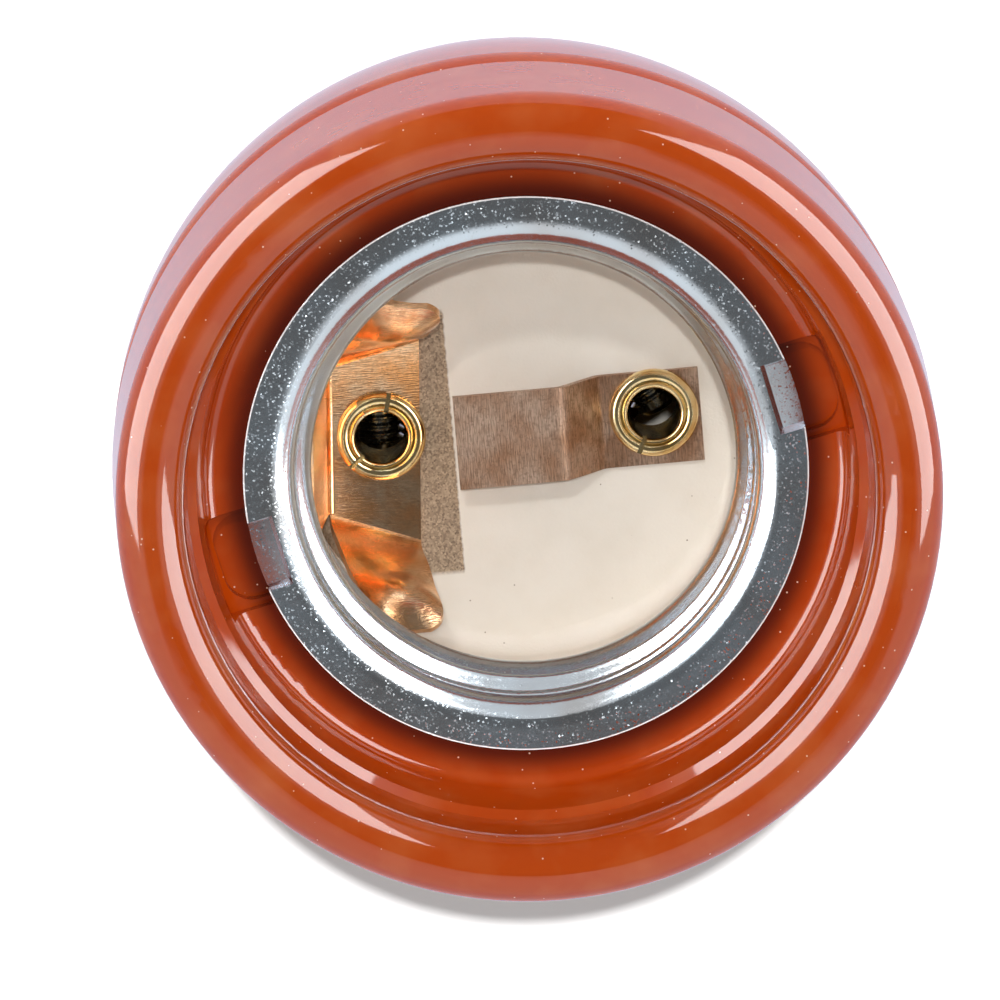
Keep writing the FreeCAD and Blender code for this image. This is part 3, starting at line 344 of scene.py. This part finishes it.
def bright_zinc():
    """Tiny crystals of the plating lean each their own way, and glint out of a cool grey field. The
    dents roll outwards, and a painted highlight shows white along the flange's outer edge."""
    material, shader = new_material("zinc_plated_sheet")
    point, radius, height = place_on(material)
    on_top = add(material, "ShaderNodeMapRange", {
        "Value": height, "From Min": flange_top - 2 * FACE_BAND, "From Max": flange_top - FACE_BAND})
    # The band of the painted highlight, at the flange's outer edge
    outermost = add(material, "ShaderNodeMapRange", {
        "Value": radius, "From Min": flange_radius - EDGE_HIGHLIGHT_WIDTH,
        "From Max": flange_radius - EDGE_HIGHLIGHT_WIDTH / 2})
    edge = add(material, "ShaderNodeMath", {0: on_top, 1: outermost}, operation="MULTIPLY")
    flat = add(material, "ShaderNodeMapRange", {
        "Value": radius, "From Min": FLANGE_INSIDE, "From Max": FLANGE_INSIDE + FLANGE_FADE})
    flange_face = add(material, "ShaderNodeMath", {0: on_top, 1: flat}, operation="MULTIPLY")

    field = add(material, "ShaderNodeTexNoise", {"Vector": point, "Scale": 1 / ZINC_CLOUD})
    field = add(material, "ShaderNodeMapRange", {"Value": field, "From Min": 0.35, "From Max": 0.7})
    colour = add(material, "ShaderNodeMix", {"Factor": field, "A": ZINC, "B": ZINC_BLUSH},
                 data_type="RGBA")
    # Paint the white highlight along the outer edge
    colour = add(material, "ShaderNodeMix", {"Factor": edge, "A": colour, "B": EDGE_HIGHLIGHT_WHITE},
                 data_type="RGBA")
    satin = add(material, "ShaderNodeMix", {"Factor": flange_face, "A": ZINC_SHEEN,
                                            "B": FLANGE_SHEEN})
    satin = add(material, "ShaderNodeMix", {"Factor": edge, "A": satin, "B": EDGE_HIGHLIGHT_SHEEN})

    crystals = add(material, "ShaderNodeTexVoronoi", {"Vector": point, "Scale": 1 / CRYSTAL})
    lot = add(material, "ShaderNodeSeparateColor", {"Color": crystals.outputs["Color"]})
    patches = add(material, "ShaderNodeTexNoise", {"Vector": point, "Scale": 1 / CRYSTAL_PATCH,
                                                   "Detail": 3.0})
    chance = add(material, "ShaderNodeMath", {0: patches, 1: 0.35, 2: lot}, operation="MULTIPLY_ADD")
    proud = add(material, "ShaderNodeMapRange", {"Value": chance, "From Min": 0.93, "From Max": 1.15,
                                                 "To Min": CALM_LEAN, "To Max": PROUD_LEAN})
    calm = add(material, "ShaderNodeMix", {"Factor": flange_face, "A": LEAN_BELOW_FLANGE, "B": 1.0})
    amount = add(material, "ShaderNodeMath", {0: proud, 1: calm}, operation="MULTIPLY")
    lean = add(material, "ShaderNodeVectorMath", {0: crystals.outputs["Color"], 1: (0.5, 0.5, 0.5)},
               operation="SUBTRACT")
    lean = add(material, "ShaderNodeVectorMath", {"Vector": lean, "Scale": amount}, operation="SCALE")

    in_dent = add(material, "ShaderNodeMapRange", {
        "Value": radius, "From Min": DENT_INSIDE, "From Max": DENT_INSIDE + DENT_FADE,
        "To Max": DENT_SLOPE})
    sunk = add(material, "ShaderNodeMapRange", {
        "Value": height, "From Min": flange_top - SHEET, "From Max": flange_top - 1.5 * SHEET})
    slope = add(material, "ShaderNodeMath", {0: in_dent, 1: sunk}, operation="MULTIPLY")
    dished = add(material, "ShaderNodeMapRange", {
        "Value": radius, "From Min": LIP_OUTSIDE, "From Max": FLANGE_INSIDE, "To Max": LIP_SLOPE},
        interpolation_type="SMOOTHSTEP")
    slope = add(material, "ShaderNodeMath", {0: dished, 1: on_top, 2: slope}, operation="MULTIPLY_ADD")
    outward = add(material, "ShaderNodeVectorMath", {0: point, 1: (1, 1, 0)}, operation="MULTIPLY")
    outward = add(material, "ShaderNodeVectorMath", {0: outward}, operation="NORMALIZE")
    outward = add(material, "ShaderNodeVectorMath", {"Vector": outward, "Scale": slope},
                  operation="SCALE")

    plain = add(material, "ShaderNodeNewGeometry", {}).outputs["Normal"]
    facing = add(material, "ShaderNodeVectorMath", {0: plain, 1: lean}, operation="ADD")
    facing = add(material, "ShaderNodeVectorMath", {0: facing, 1: outward}, operation="ADD")
    facing = add(material, "ShaderNodeVectorMath", {0: facing}, operation="NORMALIZE")
    ripple = add(material, "ShaderNodeTexNoise", {"Vector": point, "Scale": 1 / RIPPLE,
                                                  "Detail": 3.0})
    relief = add(material, "ShaderNodeBump", {"Height": ripple, "Distance": RIPPLE_HEIGHT,
                                              "Strength": 0.3, "Normal": facing})
    fill(material, shader, {"Metallic": 1.0, "Base Color": colour, "Roughness": satin,
                            "Normal": relief})
    return material


dress(bright_zinc(), "screw_shell")

# ---------------------------------------------------------------- side contact
# Phosphor bronze strip, blanked, folded and dished in a press tool, then riveted to its seat. Two
# wings stand up on either side of the plate and press on the lamp's screw.

# The roll's scratches and pits are finer than this, and are drawn wide enough to show
SCRATCH_WIDTH = 0.08 * MM
SCRATCH_ASPECT = 0.12
SCRATCH_DEPTH = 0.03 * MM
SCRATCH_DULLING = 0.18
TARNISH_CLOUD = 2.2 * MM
PIT_WIDTH = 0.11 * MM
FOOT_TOP = 0.6 * MM
FOOT_FADE = 0.2 * MM


def rolled_bronze(name, light, warm, dull, turn, sheen, brushed, peppered, bow):
    """Strip as it leaves the mill and the press: short scratches along the roll, which is turned that
    far from X, over clouds of warmer tarnish, with tiny dark pits. The flat foot is bowed by its
    eyelet, and so shades from bright to dark along Y."""
    material, shader = new_material(name)
    point = add(material, "ShaderNodeTexCoord", {}).outputs["Object"]
    along = add(material, "ShaderNodeMapping", {"Vector": point, "Rotation": (0, 0, turn)})
    along = add(material, "ShaderNodeVectorMath", {0: along, 1: (SCRATCH_ASPECT, 1, 1)},
                operation="MULTIPLY")
    scratch = add(material, "ShaderNodeTexNoise", {"Vector": along, "Scale": 1 / SCRATCH_WIDTH,
                                                   "Detail": 2.0})
    cloud = add(material, "ShaderNodeTexNoise", {"Vector": point, "Scale": 1 / TARNISH_CLOUD,
                                                 "Detail": 3.0})
    cloud = add(material, "ShaderNodeMapRange", {"Value": cloud, "From Min": 0.35, "From Max": 0.65})
    colour = add(material, "ShaderNodeMix", {"Factor": cloud, "A": light, "B": warm},
                 data_type="RGBA")
    worn = add(material, "ShaderNodeMapRange", {"Value": scratch, "From Min": 0.4, "From Max": 0.75,
                                                "To Max": brushed})
    colour = add(material, "ShaderNodeMix", {"Factor": worn, "A": colour, "B": dull},
                 data_type="RGBA")
    grains = add(material, "ShaderNodeTexVoronoi", {"Vector": point, "Scale": 1 / PIT_WIDTH})
    grains = add(material, "ShaderNodeSeparateColor", {"Color": grains.outputs["Color"]})
    pits = add(material, "ShaderNodeMapRange", {"Value": grains, "From Min": 0.7, "From Max": 1.0,
                                                "To Max": peppered})
    colour = add(material, "ShaderNodeMix", {"Factor": pits, "A": colour, "B": dull},
                 data_type="RGBA")
    rough = add(material, "ShaderNodeMath", {0: scratch, 1: SCRATCH_DULLING, 2: sheen},
                operation="MULTIPLY_ADD")
    parts = add(material, "ShaderNodeSeparateXYZ", {"Vector": point})
    foot = add(material, "ShaderNodeMapRange", {
        "Value": parts.outputs["Z"], "From Min": floor_top + FOOT_TOP + FOOT_FADE,
        "From Max": floor_top + FOOT_TOP, "To Max": -bow})
    bent = add(material, "ShaderNodeMath", {0: parts.outputs["Y"], 1: foot}, operation="MULTIPLY")
    bent = add(material, "ShaderNodeCombineXYZ", {"Y": bent})
    plain = add(material, "ShaderNodeNewGeometry", {}).outputs["Normal"]
    facing = add(material, "ShaderNodeVectorMath", {0: plain, 1: bent}, operation="ADD")
    facing = add(material, "ShaderNodeVectorMath", {0: facing}, operation="NORMALIZE")
    relief = add(material, "ShaderNodeBump", {"Height": scratch, "Distance": SCRATCH_DEPTH,
                                              "Strength": brushed, "Normal": facing})
    fill(material, shader, {"Metallic": 1.0, "Base Color": colour, "Roughness": rough,
                            "Normal": relief})
    return material


BRONZE = "#FBD6AE"
BRONZE_WARM = "#FFB878"
BRONZE_DULL = "#B98A5C"
PLATE_BOW = 34.0  # slope for each metre along Y, away from the middle
dress(rolled_bronze("burnished_phosphor_bronze", BRONZE, BRONZE_WARM, BRONZE_DULL, turn=0.0,
                    sheen=0.12, brushed=0.5, peppered=0.35, bow=PLATE_BOW), "side_contact")

# ---------------------------------------------------------------- centre contact
# The same kind of strip, left as rolled: a dull, pinkish brown tongue with a fold, that the lamp's
# centre pin presses on.

TONGUE = "#D8BBA4"
TONGUE_WARM = "#BC9274"
TONGUE_DULL = "#745A49"
dress(rolled_bronze("rolled_bronze_strip", TONGUE, TONGUE_WARM, TONGUE_DULL, turn=pi / 2,
                    sheen=0.36, brushed=0.75, peppered=0.4, bow=0.0), "centre_contact")

# ---------------------------------------------------------------- eyelets
# Brass tube, rolled over the contacts at one end and flared under the terminals at the other. Each
# holds its contact down on the floor, joins it to its terminal, and lets the screw show through.

EYELET_BRASS = "#FFE9B4"
EYELET_DEEP = "#EABE74"
BRASS_CLOUD = 1.4 * MM
TOOL_MARK = 0.2 * MM
TOOL_MARK_DEPTH = 0.01 * MM
TOOL_MARK_DULLING = 0.12


def worked_metal(name, light, deep, sheen, cloud_size):
    """Turned, rolled or plated metal: a clean lustre, clouds of a deeper tone, and faint tool marks
    that break up its reflections."""
    material, shader = new_material(name)
    point = add(material, "ShaderNodeTexCoord", {}).outputs["Object"]
    cloud = add(material, "ShaderNodeTexNoise", {"Vector": point, "Scale": 1 / cloud_size,
                                                 "Detail": 3.0})
    cloud = add(material, "ShaderNodeMapRange", {"Value": cloud, "From Min": 0.35, "From Max": 0.7})
    marks = add(material, "ShaderNodeTexNoise", {"Vector": point, "Scale": 1 / TOOL_MARK})
    rough = add(material, "ShaderNodeMath", {0: marks, 1: TOOL_MARK_DULLING, 2: sheen},
                operation="MULTIPLY_ADD")
    relief = add(material, "ShaderNodeBump", {"Height": marks, "Distance": TOOL_MARK_DEPTH,
                                              "Strength": 0.3})
    fill(material, shader, {
        "Metallic": 1.0, "Roughness": rough, "Normal": relief,
        "Base Color": add(material, "ShaderNodeMix", {"Factor": cloud, "A": light, "B": deep},
                          data_type="RGBA")})
    return material


dress(worked_metal("rolled_brass", EYELET_BRASS, EYELET_DEEP, 0.08, BRASS_CLOUD),
      "side_eyelet", "centre_eyelet")

# ---------------------------------------------------------------- terminals
# U clips bent from brass strip, each with one leg tapped for a screw that pinches the wire. The foot
# of an eyelet holds each one against the back of the floor.

BRASS = "#D5B36A"
BRASS_DEEP = "#BA9850"
dress(worked_metal("bent_terminal_brass", BRASS, BRASS_DEEP, 0.2, BRASS_CLOUD),
      "side_terminal", "centre_terminal")

# ---------------------------------------------------------------- terminal screws
# M3 cheese heads of zinc plated steel: a turned core with a rolled thread of 0.5 mm pitch, and a head
# that is sawn across.

SCREW_RADIUS = 1.48 * MM
SCREW_CORE = 1.2 * MM
SCREW_PITCH = 0.5 * MM
SCREW_POINT = 0.3 * MM
THREAD_MARGIN = 0.3 * MM
RIDGE_FOOT = 0.42
RIDGE_CREST = 0.06
RIDGE_SINK = 0.15
HEAD_RADIUS = 2.6 * MM
HEAD_HEIGHT = 1.8 * MM
HEAD_ROUND = 0.25 * MM
HEAD_ROUND_STEPS = 3
SLOT_WIDTH = 0.7 * MM
SLOT_DEPTH = 0.9 * MM
STEEL = "#B2B8BD"
STEEL_DEEP = "#8E9499"
STEEL_CLOUD = 1.0 * MM
SPIN_STEPS = 48
SHARP = radians(30)
Z_AXIS = Vector((0, 0, 1))
CLOSE = 1e-7


def turned(bm, outline):
    """Spins an outline of (radius, height) corners about Z, from the axis out and back to it."""
    corners = [bm.verts.new((radius, 0, height)) for radius, height in outline]
    edges = [bm.edges.new(pair) for pair in zip(corners, corners[1:])]
    bmesh.ops.spin(bm, geom=corners + edges, cent=(0, 0, 0), axis=Z_AXIS, angle=2 * pi,
                   steps=SPIN_STEPS, use_merge=True)
    bmesh.ops.remove_doubles(bm, verts=bm.verts, dist=CLOSE)


def coiled(bm, root, crest, pitch, start, length):
    """A thread's ridge wound about Z, from a little inside the core out to the crest's radius."""
    sunk = root + (root - crest) * RIDGE_SINK
    section = [bm.verts.new((radius, 0, start + share * pitch)) for radius, share in (
        (sunk, -RIDGE_FOOT), (crest, -RIDGE_CREST), (crest, RIDGE_CREST), (sunk, RIDGE_FOOT))]
    steps = round(length / pitch * SPIN_STEPS / 2)
    bmesh.ops.spin(bm, geom=[bm.faces.new(section)], cent=(0, 0, 0), axis=Z_AXIS,
                   angle=2 * pi * length / pitch, dvec=(0, 0, length / steps), steps=steps)


def slotted_head(bm, base):
    """A disc cut into three strips and drawn up, the middle one less, and rounded round the top."""
    bmesh.ops.create_circle(bm, cap_ends=True, radius=HEAD_RADIUS, segments=SPIN_STEPS,
                            matrix=Matrix.Translation((0, 0, base)))
    disc = [face for face in bm.faces if all(abs(v.co.z - base) < CLOSE for v in face.verts)
            and face.calc_area() > HEAD_RADIUS ** 2]
    for side in (-SLOT_WIDTH / 2, SLOT_WIDTH / 2):
        around = dict.fromkeys(part for face in disc for part in [face, *face.edges, *face.verts])
        bmesh.ops.bisect_plane(bm, geom=list(around), dist=CLOSE, plane_co=(0, side, 0),
                               plane_no=(0, 1, 0))
        disc = [face for face in bm.faces if all(abs(v.co.z - base) < CLOSE for v in face.verts)]
    lower = bmesh.ops.extrude_face_region(bm, geom=disc, use_keep_orig=True)["geom"]
    bmesh.ops.translate(bm, vec=(0, 0, HEAD_HEIGHT - SLOT_DEPTH),
                        verts=[v for v in lower if isinstance(v, bmesh.types.BMVert)])
    sides = [face for face in lower if isinstance(face, bmesh.types.BMFace)
             and abs(face.calc_center_median().y) > SLOT_WIDTH / 2]
    upper = bmesh.ops.extrude_face_region(bm, geom=sides)["geom"]
    bmesh.ops.delete(bm, geom=sides, context="FACES_ONLY")
    bmesh.ops.translate(bm, vec=(0, 0, SLOT_DEPTH),
                        verts=[v for v in upper if isinstance(v, bmesh.types.BMVert)])
    top = base + HEAD_HEIGHT
    rim = [edge for edge in bm.edges if all(
        abs(v.co.z - top) < CLOSE and v.co.xy.length > HEAD_RADIUS - 10 * CLOSE for v in edge.verts)]
    rim = [edge for edge in rim if abs(edge.verts[0].co.x - edge.verts[1].co.x) < HEAD_RADIUS]
    bmesh.ops.bevel(bm, geom=rim, offset=HEAD_ROUND, segments=HEAD_ROUND_STEPS, affect="EDGES",
                    profile=0.5, material=-1)


def add_piece(bm, name, material, body, slot, *replaced):
    """Turns a mesh's faces outward and adds it as a piece, on that body, for those CAD nodes."""
    bmesh.ops.recalc_face_normals(bm, faces=bm.faces)
    mesh = bpy.data.meshes.new(name)
    bm.to_mesh(mesh)
    bm.free()
    mesh.materials.append(material)
    mesh.shade_smooth()
    mesh.set_sharp_from_angle(angle=SHARP)
    piece = bpy.data.objects.new(name, mesh)
    bpy.context.scene.collection.objects.link(piece)
    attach(piece, body)
    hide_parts(*replaced)


def add_screw(name, axis, body):
    """A slotted and threaded screw in place of a plain one. The axis points to its head."""
    turn = Z_AXIS.rotation_difference(axis).to_matrix()
    points = [turn.transposed() @ vertex.co for vertex in nodes[name].data.vertices]
    low, high = (Vector([pick(along) for along in zip(*points)]) for pick in (min, max))
    shank = high.z - low.z - HEAD_HEIGHT
    tip = turn @ Vector(((low.x + high.x) / 2, (low.y + high.y) / 2, low.z))
    bm = bmesh.new()
    slotted_head(bm, shank)
    turned(bm, [(0, 0), (SCREW_CORE - SCREW_POINT, 0), (SCREW_CORE, SCREW_POINT),
                (SCREW_CORE, shank + SCREW_POINT), (0, shank + SCREW_POINT)])
    coiled(bm, SCREW_CORE, SCREW_RADIUS, SCREW_PITCH, SCREW_POINT + THREAD_MARGIN,
           shank - SCREW_POINT - 2 * THREAD_MARGIN)
    bmesh.ops.transform(bm, verts=bm.verts, matrix=Matrix.Translation(tip) @ turn.to_4x4())
    add_piece(bm, name + "_threaded", steel, body, "screw_steel", name)


steel = worked_metal("zinc_plated_screw_steel", STEEL, STEEL_DEEP, 0.2, STEEL_CLOUD)
for joint in frame["joints"]:
    add_screw(joint["child"], Vector(joint["axis"]).normalized(), joint["child"])

# ---------------------------------------------------------------- cap screws, washers and nuts
# Two long M3 screws on spring washers draw the cap up to square nuts in the body. Their heads sit at
# the back, in wells of the cap. All are zinc plated.

for name in ("cap_screw_1", "cap_screw_2"):
    add_screw(name, -Z_AXIS, "holder")
dress(steel, "cap_washer_1", "cap_washer_2", "cap_nut_1", "cap_nut_2")

# ---------------------------------------------------------------- cable entry
# A turned brass bush with a fine M10 thread inside, for a pipe or a cord grip. Its collar in the cap
# and a thin nut outside clamp it on two washers of red vulcanised fibre.

NUT_STEEL = "#B4B9BC"
NUT_STEEL_DEEP = "#93999D"
dress(worked_metal("turned_bush_brass", BRASS, BRASS_DEEP, 0.22, BRASS_CLOUD), "entry_bush")
dress(worked_metal("zinc_plated_nut_steel", NUT_STEEL, NUT_STEEL_DEEP, 0.24, STEEL_CLOUD),
      "entry_nut")

FIBRE = "#8C3A2C"
FIBRE_DEEP = "#6B2A20"
FIBRE_IOR = 1.5
FIBRE_WIDTH = 0.4 * MM
FIBRE_ASPECT = 0.3
FIBRE_HEIGHT = 0.02 * MM


def vulcanised_fibre():
    """Pressed layers of dyed paper: matt brick red, with the paper's fibres just visible."""
    material, shader = new_material("vulcanised_fibre")
    point = add(material, "ShaderNodeTexCoord", {}).outputs["Object"]
    drawn = add(material, "ShaderNodeVectorMath", {0: point, 1: (1, FIBRE_ASPECT, 1)},
                operation="MULTIPLY")
    strands = add(material, "ShaderNodeTexNoise", {"Vector": drawn, "Scale": 1 / FIBRE_WIDTH,
                                                   "Detail": 3.0})
    colour = add(material, "ShaderNodeMix", {"Factor": strands, "A": FIBRE, "B": FIBRE_DEEP},
                 data_type="RGBA")
    rough = add(material, "ShaderNodeMapRange", {"Value": strands, "To Min": 0.45, "To Max": 0.65})
    relief = add(material, "ShaderNodeBump", {"Height": strands, "Distance": FIBRE_HEIGHT,
                                              "Strength": 0.4})
    fill(material, shader, {"IOR": FIBRE_IOR, "Base Color": colour, "Roughness": rough,
                            "Normal": relief})
    return material


dress(vulcanised_fibre(), "bush_washer", "entry_washer")

# ---------------------------------------------------------------- floor
# A sheet of pale, matt card that the holder stands on. The glaze and the metal mirror it as an even,
# cool white.

FLOOR_REACH = 3.0
FLOOR_PALE = "#B0B0B0"
FLOOR_ROUGH = 0.7
FLOOR_IN_GLOSS = "#EAEAFF"
FLOOR_IN_GLOSS_LIGHT = 0.9

bm = bmesh.new()
bmesh.ops.create_grid(bm, x_segments=1, y_segments=1, size=FLOOR_REACH,
                      matrix=Matrix.Translation((0, 0, cad_box[0].z)))
floor_mesh = bpy.data.meshes.new("floor")
bm.to_mesh(floor_mesh)
bm.free()
floor = bpy.data.objects.new("floor", floor_mesh)
bpy.context.scene.collection.objects.link(floor)
card, card_shader = new_material("pale_card")
fill(card, card_shader, {"Base Color": FLOOR_PALE, "Roughness": FLOOR_ROUGH})
even = add(card, "ShaderNodeEmission", {"Color": FLOOR_IN_GLOSS, "Strength": FLOOR_IN_GLOSS_LIGHT})
rays = add(card, "ShaderNodeLightPath", {})
either = add(card, "ShaderNodeMixShader", {0: rays.outputs["Is Glossy Ray"], 1: card_shader, 2: even})
fill(card, card.node_tree.nodes["Material Output"], {"Surface": either})
floor_mesh.materials.append(card)

# ---------------------------------------------------------------- camera
# Looks almost straight into the mouth. The holder's axis leans a little away from the line of sight, so
# that its mouth drops towards the lower edge of the frame, and the holder is turned a little about it.

LEAN = radians(12.45)
LEAN_AXIS = radians(7.3)
TURN = radians(5)
DISTANCE = 0.45
AIM_RIGHT = -1.51 * MM
AIM_UP = -1.42 * MM
FOCAL_LENGTH = 281.4
SENSOR_WIDTH = 36.0
NEAR = 0.01
FAR = 20

flange_centre = Vector((0, 0, flange_top))
lean = Matrix.Rotation(LEAN, 3, Vector((cos(LEAN_AXIS), sin(LEAN_AXIS), 0)))
to_world = (lean @ Matrix.Rotation(TURN, 3, "Z")).transposed()
lens = bpy.data.cameras.new("camera")
lens.lens = FOCAL_LENGTH
lens.sensor_width = SENSOR_WIDTH
lens.clip_start = NEAR
lens.clip_end = FAR
camera = bpy.data.objects.new("camera", lens)
bpy.context.scene.collection.objects.link(camera)
camera.matrix_world = Matrix.Translation(
    flange_centre + to_world @ Vector((AIM_RIGHT, AIM_UP, DISTANCE))) @ to_world.to_4x4()
bpy.context.scene.camera = camera

# ---------------------------------------------------------------- light
# Two soft boxes stand low on either side, and draw the bright arcs on the glazed rim. One above the
# camera and a distant front lamp light the faces, and a narrow lamp reaches the floor of the bore. One
# more lights the shell alone, and one the card alone, where the holder's shadow falls.


def add_lamp(name, kind, direction, distance, radiance_area, **settings):
    """A lamp that shines at the flange from a direction seen from the camera: right, up and nearer.
    radiance_area is its brightness times its area, both as a white surface would show them."""
    data = bpy.data.lights.new(name, kind)
    data.energy = radiance_area * pi
    for setting, choice in settings.items():
        setattr(data, setting, choice)
    lamp = bpy.data.objects.new(name, data)
    bpy.context.scene.collection.objects.link(lamp)
    towards = (to_world @ Vector(direction)).normalized()
    lamp.matrix_world = (Matrix.Translation(flange_centre + towards * distance)
                         @ towards.to_track_quat("Z", "Y").to_matrix().to_4x4())
    return lamp


LAMP_DISTANCE = 0.8
BOX_DEEP = 1.05
BOX_LONG = 0.85
BOX_LIGHT = 7.2
BOX_RIGHT, BOX_UP, BOX_NEARER = 0.83, 0.22, 0.5
for name, side in (("left_soft_box", -1), ("right_soft_box", 1)):
    box = add_lamp(name, "AREA", (BOX_RIGHT * side, BOX_UP, BOX_NEARER), LAMP_DISTANCE,
                   BOX_LIGHT * BOX_DEEP * BOX_LONG, shape="RECTANGLE", size=BOX_DEEP, size_y=BOX_LONG)
    box.visible_diffuse = False

TOP_LIGHT = 1.4
TOP_SIZE = 0.5
TOP_ANGLE = radians(36)
top_box = add_lamp("top_soft_box", "AREA", (0, sin(TOP_ANGLE), cos(TOP_ANGLE)), LAMP_DISTANCE,
                   TOP_LIGHT * TOP_SIZE ** 2, size=TOP_SIZE)
top_box.visible_glossy = False

FRONT_LIGHT = 0.33
FRONT_ANGLE = radians(1.5)
FRONT_WIDTH = radians(1.5)
front = add_lamp("front_lamp", "SUN", (0, sin(FRONT_ANGLE), cos(FRONT_ANGLE)), LAMP_DISTANCE,
                 FRONT_LIGHT, angle=FRONT_WIDTH)
front.visible_glossy = False

BORE_LIGHT = 0.7
BORE_DIRECTION = (-0.1, 0.30, 0.95)
BORE_DISTANCE = 0.5
BORE_BULB = 0.03
BORE_CONE = radians(3.6)
BORE_CONE_FADE = 0.3
bore_lamp = add_lamp("bore_lamp", "SPOT", BORE_DIRECTION, BORE_DISTANCE,
                     BORE_LIGHT * BORE_DISTANCE ** 2 * 4 * pi, shadow_soft_size=BORE_BULB,
                     spot_size=BORE_CONE, spot_blend=BORE_CONE_FADE)
bore_lamp.visible_glossy = False

SHELL_LIGHT = 0.65
SHELL_DIRECTION = (0, 0.72, 0.7)
SHELL_LAMP_SIZE = 1.0
shell_lamp = add_lamp("shell_lamp", "AREA", SHELL_DIRECTION, LAMP_DISTANCE,
                      SHELL_LIGHT * SHELL_LAMP_SIZE ** 2, size=SHELL_LAMP_SIZE)
shell_only = bpy.data.collections.new("shell_only")
shell_only.objects.link(nodes["screw_shell"])
shell_lamp.light_linking.receiver_collection = shell_only

SHADOW_LIGHT = 2.1
SHADOW_ANGLE = radians(4.35)
SHADOW_BLUR = radians(1.0)
floor_lamp = add_lamp("floor_lamp", "SUN", (0, sin(SHADOW_ANGLE), cos(SHADOW_ANGLE)), LAMP_DISTANCE,
                      SHADOW_LIGHT, angle=SHADOW_BLUR)
floor_only = bpy.data.collections.new("floor_only")
floor_only.objects.link(floor)
floor_lamp.light_linking.receiver_collection = floor_only

# The room is white to the sides and below, and dim in front and above, so that the metal and the top
# of the rim keep their depth. Seen directly, it is plain white.
ROOM_DIM = 0.11
ROOM_SHARE = 0.65
WHITE_BESIDE = (0.3, 0.55)
WHITE_BELOW = (0.45, 0.7)
world = bpy.data.worlds.new("studio")
world.use_nodes = True
bpy.context.scene.world = world
direction = add(world, "ShaderNodeTexCoord", {}).outputs["Generated"]
across = add(world, "ShaderNodeVectorMath", {0: direction, 1: to_world @ Vector((1, 0, 0))},
             operation="DOT_PRODUCT")
across = add(world, "ShaderNodeMath", {0: across}, operation="ABSOLUTE")
down = add(world, "ShaderNodeVectorMath", {0: direction, 1: to_world @ Vector((0, -1, 0))},
           operation="DOT_PRODUCT")
beside = add(world, "ShaderNodeMapRange", {
    "Value": across, "From Min": WHITE_BESIDE[0], "From Max": WHITE_BESIDE[1]},
    interpolation_type="SMOOTHSTEP")
below = add(world, "ShaderNodeMapRange", {
    "Value": down, "From Min": WHITE_BELOW[0], "From Max": WHITE_BELOW[1]},
    interpolation_type="SMOOTHSTEP")
white = add(world, "ShaderNodeMath", {0: beside, 1: below}, operation="MAXIMUM")
white = add(world, "ShaderNodeMapRange", {"Value": white, "To Min": ROOM_DIM})
rays = add(world, "ShaderNodeLightPath", {})
share = add(world, "ShaderNodeMapRange", {"Value": rays.outputs["Is Glossy Ray"],
                                          "To Min": ROOM_SHARE})
white = add(world, "ShaderNodeMath", {0: white, 1: share}, operation="MULTIPLY")
white = add(world, "ShaderNodeMath", {0: white, 1: rays.outputs["Is Camera Ray"]},
            operation="MAXIMUM")
fill(world, world.node_tree.nodes["Background"], {"Color": "#FFFFFF", "Strength": white})

bpy.context.scene.view_settings.view_transform = "Standard"
